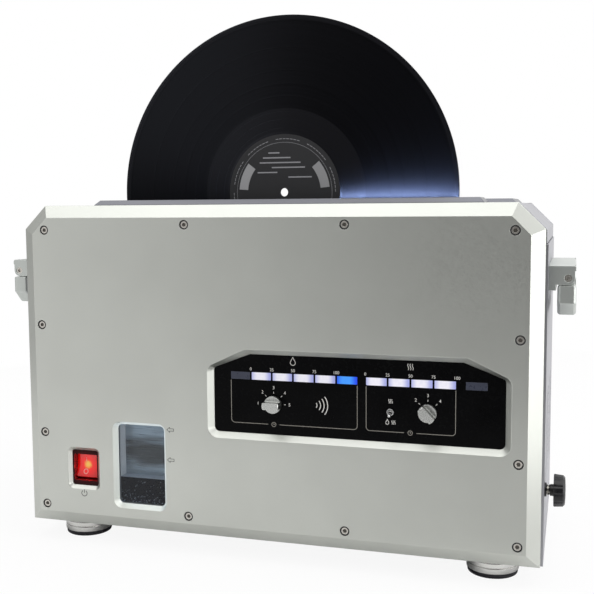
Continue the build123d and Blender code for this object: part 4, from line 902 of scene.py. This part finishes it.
def knob_scale(mesh, knob, marks, y):
    """Numbers and ticks round a knob; marks are (character, angle in degrees)."""
    centre = middle(knob)
    for text, angle in marks:
        out = Vector((cos(radians(angle)), sin(radians(angle))))
        start, end, far = [(centre.x + out.x * r, centre.z + out.y * r) for r in SCALE_RADII]
        line(mesh, [start, end], INK_LINE, y)
        lettering(mesh, text, SCALE_TEXT, far, y)


def fascia_print(material, lines):
    """Print on the fascia: dim brackets, and numbers and picture signs in white."""
    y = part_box("control_fascia")[0].y - INK
    lights = islands("progress_lights")
    washing, drying = lights[:4], lights[4:]
    knob = middle("washing_knob")
    brackets = bmesh.new()
    top, bottom = lights[0][0].z - BRACKET_START, knob.z - BRACKET_DROP
    left, right = islands("idle_lights")[0][0].x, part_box("draining_light")[1].x
    bracket(brackets, left, right, top, bottom, knob.x, y)
    left, right = drying[0][0].x, drying[-1][1].x
    bracket(brackets, left, right, top, bottom, (left + right) / 2, y)
    ink = bmesh.new()
    above, title = lights[0][1].z + LIGHT_TEXT_RISE, lights[0][1].z + TITLE_RISE
    for row in (washing, drying):
        gap = (row[1][0].x - row[0][1].x) / 2
        places = [row[0][0].x - gap] + [box[1].x + gap for box in row]
        for text, x in zip(LIGHT_MARKS, places):
            lettering(ink, text, LIGHT_TEXT, (x, above), y)
    droplet(ink, ((washing[1][1].x + washing[2][0].x) / 2, title), TITLE_DROP_SIZE, y)
    air_waves(ink, ((drying[1][1].x + drying[2][0].x) / 2, title), TITLE_AIR_SIZE, y)
    knob_scale(ink, "washing_knob", WASHING_SCALE, y)
    knob_scale(ink, "drying_knob", DRYING_SCALE, y)
    source = (knob.x + SOUND_PLACE[0], knob.z + SOUND_PLACE[1])
    for radius in SOUND_RADII:
        line(ink, arc(source, radius, -SOUND_SPAN, SOUND_SPAN), SOUND_WIDTH, y)
    toggle = middle("toggle_bushing")
    above, under = toggle.z + TOGGLE_SIGN_RISE, toggle.z - TOGGLE_SIGN_RISE
    air_waves(ink, (toggle.x, above), TOGGLE_AIR_SIZE, y)
    droplet(ink, (toggle.x + TOGGLE_DROP[0], under), TOGGLE_DROP[1], y)
    air_waves(ink, (toggle.x + TOGGLE_DROP_AIR[0], under), TOGGLE_DROP_AIR[1], y)
    piece("fascia_print", ink, "casing", material)
    piece("fascia_lines", brackets, "casing", lines)


def panel_print(material):
    """Dark print on the front: two level arrows and the usual sign for power."""
    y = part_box("front_panel")[0].y - INK
    ink = bmesh.new()
    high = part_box("level_window")[1]
    half, neck, head, length = LEVEL_ARROW
    for drop in LEVEL_DROPS:
        x, z = high.x + LEVEL_ARROW_GAP, high.z - drop
        points = [(x, z), (x + head, z + half), (x + head, z + neck), (x + length, z + neck),
                  (x + length, z - neck), (x + head, z - neck), (x + head, z - half)]
        line(ink, points, LEVEL_ARROW_LINE, y, closed=True)
    case = "power_switch_case"
    x, z = middle(case).x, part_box(case)[0].z - POWER_SIGN_DROP
    line(ink, arc((x, z), POWER_SIGN_RADIUS, *POWER_SIGN_SPAN, 20), POWER_SIGN_LINE, y)
    line(ink, [(x, z + up) for up in POWER_SIGN_BAR], POWER_SIGN_LINE, y)
    piece("panel_print", ink, "casing", material)


def threaded_stem(material):
    """The drain valve's threaded stem, inside the CAD stem's size."""
    low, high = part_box("drain_valve_stem")
    radius = (high.z - low.z) / 2
    centre = (low + high) / 2
    count = int((high.x - low.x) / THREAD_PITCH * THREAD_RINGS)
    mesh = bmesh.new()
    rings = []
    for step in range(count + 1):
        x = low.x + (high.x - low.x) * step / count
        taper = THREAD_DEPTH if step in (0, count) else 0.0
        ring = []
        for turn in range(THREAD_AROUND):
            phase = ((x - low.x) / THREAD_PITCH + turn / THREAD_AROUND) % 1.0
            reach = radius - max(THREAD_DEPTH * abs(2 * phase - 1), taper)
            angle = tau * turn / THREAD_AROUND
            ring.append(mesh.verts.new((x, centre.y + reach * cos(angle),
                                        centre.z + reach * sin(angle))))
        rings.append(ring)
    for first, second in zip(rings, rings[1:]):
        for turn in range(THREAD_AROUND):
            after = (turn + 1) % THREAD_AROUND
            mesh.faces.new((first[turn], first[after], second[after], second[turn]))
    mesh.faces.new(rings[0])
    mesh.faces.new(rings[-1])
    stem = piece("drain_stem_thread", mesh, "drain_knob", material, EDGE_ANGLE)
    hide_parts("drain_valve_stem")


def rocker_marks(material):
    """The usual line and circle, moulded on the rocker's face."""
    rocker = bpy.data.objects["power_rocker_finished"]
    face = BVHTree.FromObject(rocker, bpy.context.evaluated_depsgraph_get())
    low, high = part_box("power_rocker")
    x = middle("power_rocker").x - MARK_LEFT
    mesh = bmesh.new()
    line(mesh, [(x, high.z - down) for down in MARK_BAR], MARK_BAR_LINE, 0, 1)
    radius, width = MARK_CIRCLE
    line(mesh, circle((x, low.z + MARK_CIRCLE_RISE), radius, 24), width, 0, 1, closed=True)
    for vertex in mesh.verts:
        start = Vector((vertex.co.x, low.y - 0.01, vertex.co.z))
        hit = face.ray_cast(start, Vector((0, 1, 0)))[0]
        vertex.co.y = hit.y - (MARK_RELIEF if vertex.co.y < 0.5 else -MARK_RELIEF)
    piece("rocker_marks", mesh, "power_rocker", material)


def gauge_back(material):
    """The brushed sheet that shows above the water, behind the level pane."""
    low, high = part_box("level_window")
    left, right = low.x + GAUGE_MARGIN, high.x - GAUGE_MARGIN
    bottom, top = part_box("reservoir_water")[1].z, high.z - GAUGE_MARGIN
    corner = BACK_CORNER
    outline = ([(left, bottom), (right, bottom)]
               + arc((right - corner, top - corner), corner, 0, 90)
               + arc((left + corner, top - corner), corner, 90, 180))
    mesh = bmesh.new()
    prism(mesh, outline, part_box("front_panel")[0].y + GAUGE_BACK, BACK_SHEET)
    piece("gauge_back_sheet", mesh, "casing", material)


def water_bubbles(material):
    """Small bubbles on the inner side of the pane, most of them near its bottom."""
    draw = random.Random(BUBBLE_SEED)
    low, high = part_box("level_window")
    left, right = low.x + GAUGE_MARGIN, high.x - GAUGE_MARGIN
    bottom, surface = low.z + GAUGE_MARGIN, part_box("reservoir_water")[1].z
    mesh = bmesh.new()
    for _ in range(BUBBLES):
        height = draw.random() ** BUBBLE_CROWDING
        x = draw.uniform(left, right)
        z = bottom + BUBBLE_START + (surface - bottom - BUBBLE_CLEAR) * height
        radius = draw.uniform(*BUBBLE_SIZES)
        bmesh.ops.create_icosphere(mesh, subdivisions=1, radius=radius,
                                   matrix=Matrix.Translation((x, high.y, z)))
    piece("gauge_bubbles", mesh, "casing", material, EDGE_ANGLE)


def screw_shade_rings(material):
    """Painted shade: dark rings round the heads of the front screws, inside their seats."""
    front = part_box("front_panel")[0].y
    inner, outer = SHADE_RING_RADII
    start, end = SHADE_RING_DEPTHS
    step = SHADE_RING_ROUND
    profile = [(inner, start + step), (inner + step, start), (outer - step, start),
               (outer, start + step), (outer, end), (inner, end)]
    mesh = bmesh.new()
    for low, high in islands("front_panel_screws"):
        centre = (low + high) / 2
        turned(mesh, profile, Vector((centre.x, front, centre.z)), SHADE_RING_STEPS)
    piece("front_screw_shade_rings", mesh, "casing", material, EDGE_ANGLE)


def socket_shade_sheets(material):
    """Painted shade: dark sheets at the bottom of the screws' sockets, where no light comes."""
    mesh = bmesh.new()
    for node in ("front_panel_screws", "rear_screws"):
        for low, high in islands(node):
            centre = (low + high) / 2
            front = centre.y < 0
            y = low.y + SOCKET_DEPTH if front else high.y - SOCKET_DEPTH - SOCKET_SHEET
            hexagon = arc(centre.xz, SOCKET_RADIUS, 30, 390, 6)[:-1]
            prism(mesh, hexagon, y, SOCKET_SHEET)
    piece("screw_socket_shade", mesh, "casing", material)


# The studio's parts

def add_camera():
    """The camera at the picture's angle; a shift puts the optical axis where it was."""
    camera = added("camera", bpy.data.cameras.new("camera"))
    camera.data.sensor_width = SENSOR
    camera.data.lens = FOCAL * SENSOR / PICTURE
    camera.data.shift_x = (PICTURE / 2 - AXIS_X) / PICTURE
    camera.data.shift_y = (AXIS_Y - PICTURE / 2) / PICTURE
    camera.matrix_world = (Matrix.Translation(CAMERA_PLACE)
                           @ Matrix.Rotation(CAMERA_YAW, 4, "Z")
                           @ Matrix.Rotation(pi / 2 + CAMERA_PITCH, 4, "X")
                           @ Matrix.Rotation(CAMERA_ROLL, 4, "Z"))
    bpy.context.scene.camera = camera


def softbox(name, place, target, width, radiance, colour=(1, 1, 1), height=None):
    """A flat lamp facing the target; square unless it has its own height."""
    height = height or width
    lamp = added(name, bpy.data.lights.new(name, "AREA"))
    lamp.data.shape = "RECTANGLE"
    lamp.data.size = width
    lamp.data.size_y = height
    lamp.data.energy = radiance * pi * width * height
    lamp.data.color = colour
    lamp.location = place
    lamp.rotation_mode = "QUATERNION"
    lamp.rotation_quaternion = (Vector(target) - Vector(place)).to_track_quat("-Z", "Y")
    lamp.visible_camera = False
    return lamp


def only_lights(lamp, name, *pieces):
    """Lets a lamp light these pieces alone; returns their collection."""
    lit = bpy.data.collections.new(name)
    for thing in pieces:
        lit.objects.link(bpy.data.objects[thing])
    lamp.light_linking.receiver_collection = lit
    return lit


def rocker_glow():
    """The rocker's own lamp, as it falls on the sides of its opening."""
    place = middle("power_rocker")
    place.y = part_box("power_rocker")[0].y - ROCKER_GLOW_REACH
    glow = added("rocker_glow", bpy.data.lights.new("rocker_glow", "POINT"))
    glow.data.energy = ROCKER_GLOW
    glow.data.shadow_soft_size = ROCKER_GLOW_RADIUS
    glow.data.color = ROCKER_GLOW_COLOUR
    glow.location = place
    glow.visible_camera = False
    glow.visible_glossy = False
    only_lights(glow, "rocker_opening", "front_panel_finished", "power_switch_case_finished")


def window_glow():
    """Light that the tank's window throws on the slopes round it."""
    low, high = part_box("level_window")
    place = middle("level_window")
    place.y = low.y - WINDOW_GLOW_GAP
    glow = softbox("window_glow", place, place - Vector((0, 1, 0)), high.x - low.x - WINDOW_LAP,
                   WINDOW_GLOW, WINDOW_GLOW_COLOUR, high.z - low.z - WINDOW_LAP)
    only_lights(glow, "window_slopes", "front_panel_finished")


def light_record():
    """Lamps for the record alone: what glints in its grooves."""
    for name, lamp in RECORD_LAMPS.items():
        lamp = softbox(name, *lamp)
        lamp.visible_diffuse = False
        disc = only_lights(lamp, name + "_disc", "record_disc")
        lamp.light_linking.blocker_collection = disc


def add_floor():
    """A pale floor that keeps the object's shadow and turns plain white further out; mirrors see a
    painted shadow on it towards the right and front.
    """
    mesh = bmesh.new()
    bmesh.ops.create_circle(mesh, cap_ends=True, segments=96, radius=FLOOR_RADIUS,
                            matrix=Matrix.Translation(FLOOR_CENTRE))
    floor = meshed("floor", mesh)
    finish = Finish("floor", [FLOOR_COLOUR] * 3 + [1.0], 0.9, Specular_IOR_Level=0.0)
    rays = finish.add("LightPath").outputs
    start, end, low = FLOOR_DIM
    # painted shadow, seen in mirrors only
    dimmed = finish.spread(finish.axis("X"), start, end, 1.0, low, smooth=True)
    ahead = finish.spread(finish.axis("Y"), *FLOOR_DIM_FRONT, smooth=True)
    ahead = finish.math("MULTIPLY", ahead, rays["Is Glossy Ray"])
    tone = finish.mix(ahead, 1.0, dimmed)
    finish.set(Base_Color=finish.vector("SCALE", [FLOOR_COLOUR] * 3, scale=tone)[0])
    fade = finish.spread(finish.distance(FLOOR_CENTRE), *FLOOR_FADE, smooth=True)
    seen = finish.math("ADD", rays["Is Camera Ray"], rays["Is Glossy Ray"], clamp=True)
    seen = finish.math("ADD", seen, rays["Is Transmission Ray"], clamp=True)
    near = finish.math("MULTIPLY", rays["Is Camera Ray"], FLOOR_WHITE)
    share = finish.math("MAXIMUM", finish.math("MULTIPLY", fade, seen), near)
    white = finish.add("Emission", {"Strength": 1.0})
    finish.mix_shaders(share, finish.shader, white)
    floor.data.materials.append(finish.material)


def add_world():
    """White behind everything; its light is dimmer in front and at the left."""
    world = bpy.data.worlds.new("studio")
    bpy.context.scene.world = world
    world.use_nodes = True
    room = Nodes(world.node_tree)
    direction = room.add("TexCoord").outputs["Generated"]
    rays = room.add("LightPath").outputs

    def dimmed(side, start, end, low):
        """1 away from that side of the room, down to low within it."""
        facing = room.vector("DOT_PRODUCT", direction, Vector(side).normalized())[1]
        return room.spread(facing, start, end, 1.0, low, smooth=True)

    glossy = room.math("MULTIPLY", dimmed(*DARK_FRONT), dimmed(*DARK_LEFT))
    level = room.mix(rays["Is Diffuse Ray"], glossy, DIFFUSE_LIGHT)
    background = room.tree.nodes["Background"].inputs
    background["Color"].default_value = (1, 1, 1, 1)
    room.plug(background["Strength"], room.mix(rays["Is Camera Ray"], level, 1.0))


# The scene
made = finishes()
dress_cad_nodes(made)
record_disc(made["record_vinyl"])
label_print(made["label_ink"], made["silver_ink"])
fascia_print(made["white_ink"], made["line_ink"])
panel_print(made["dark_ink"])
rocker_marks(made["mark_ink"])
gauge_back(made["gauge_steel"])
water_bubbles(made["bubble"])
# painted shade in the screws' seats
screw_shade_rings(made["liner_black"])
# painted shade in the screws' sockets
socket_shade_sheets(made["socket_shade"])
threaded_stem(made["valve_brass"])

add_camera()
add_floor()
add_world()
for name, lamp in SOFTBOXES.items():
    softbox(name, *lamp)
light_record()
rocker_glow()
window_glow()
bpy.context.scene.view_settings.view_transform = "Standard"
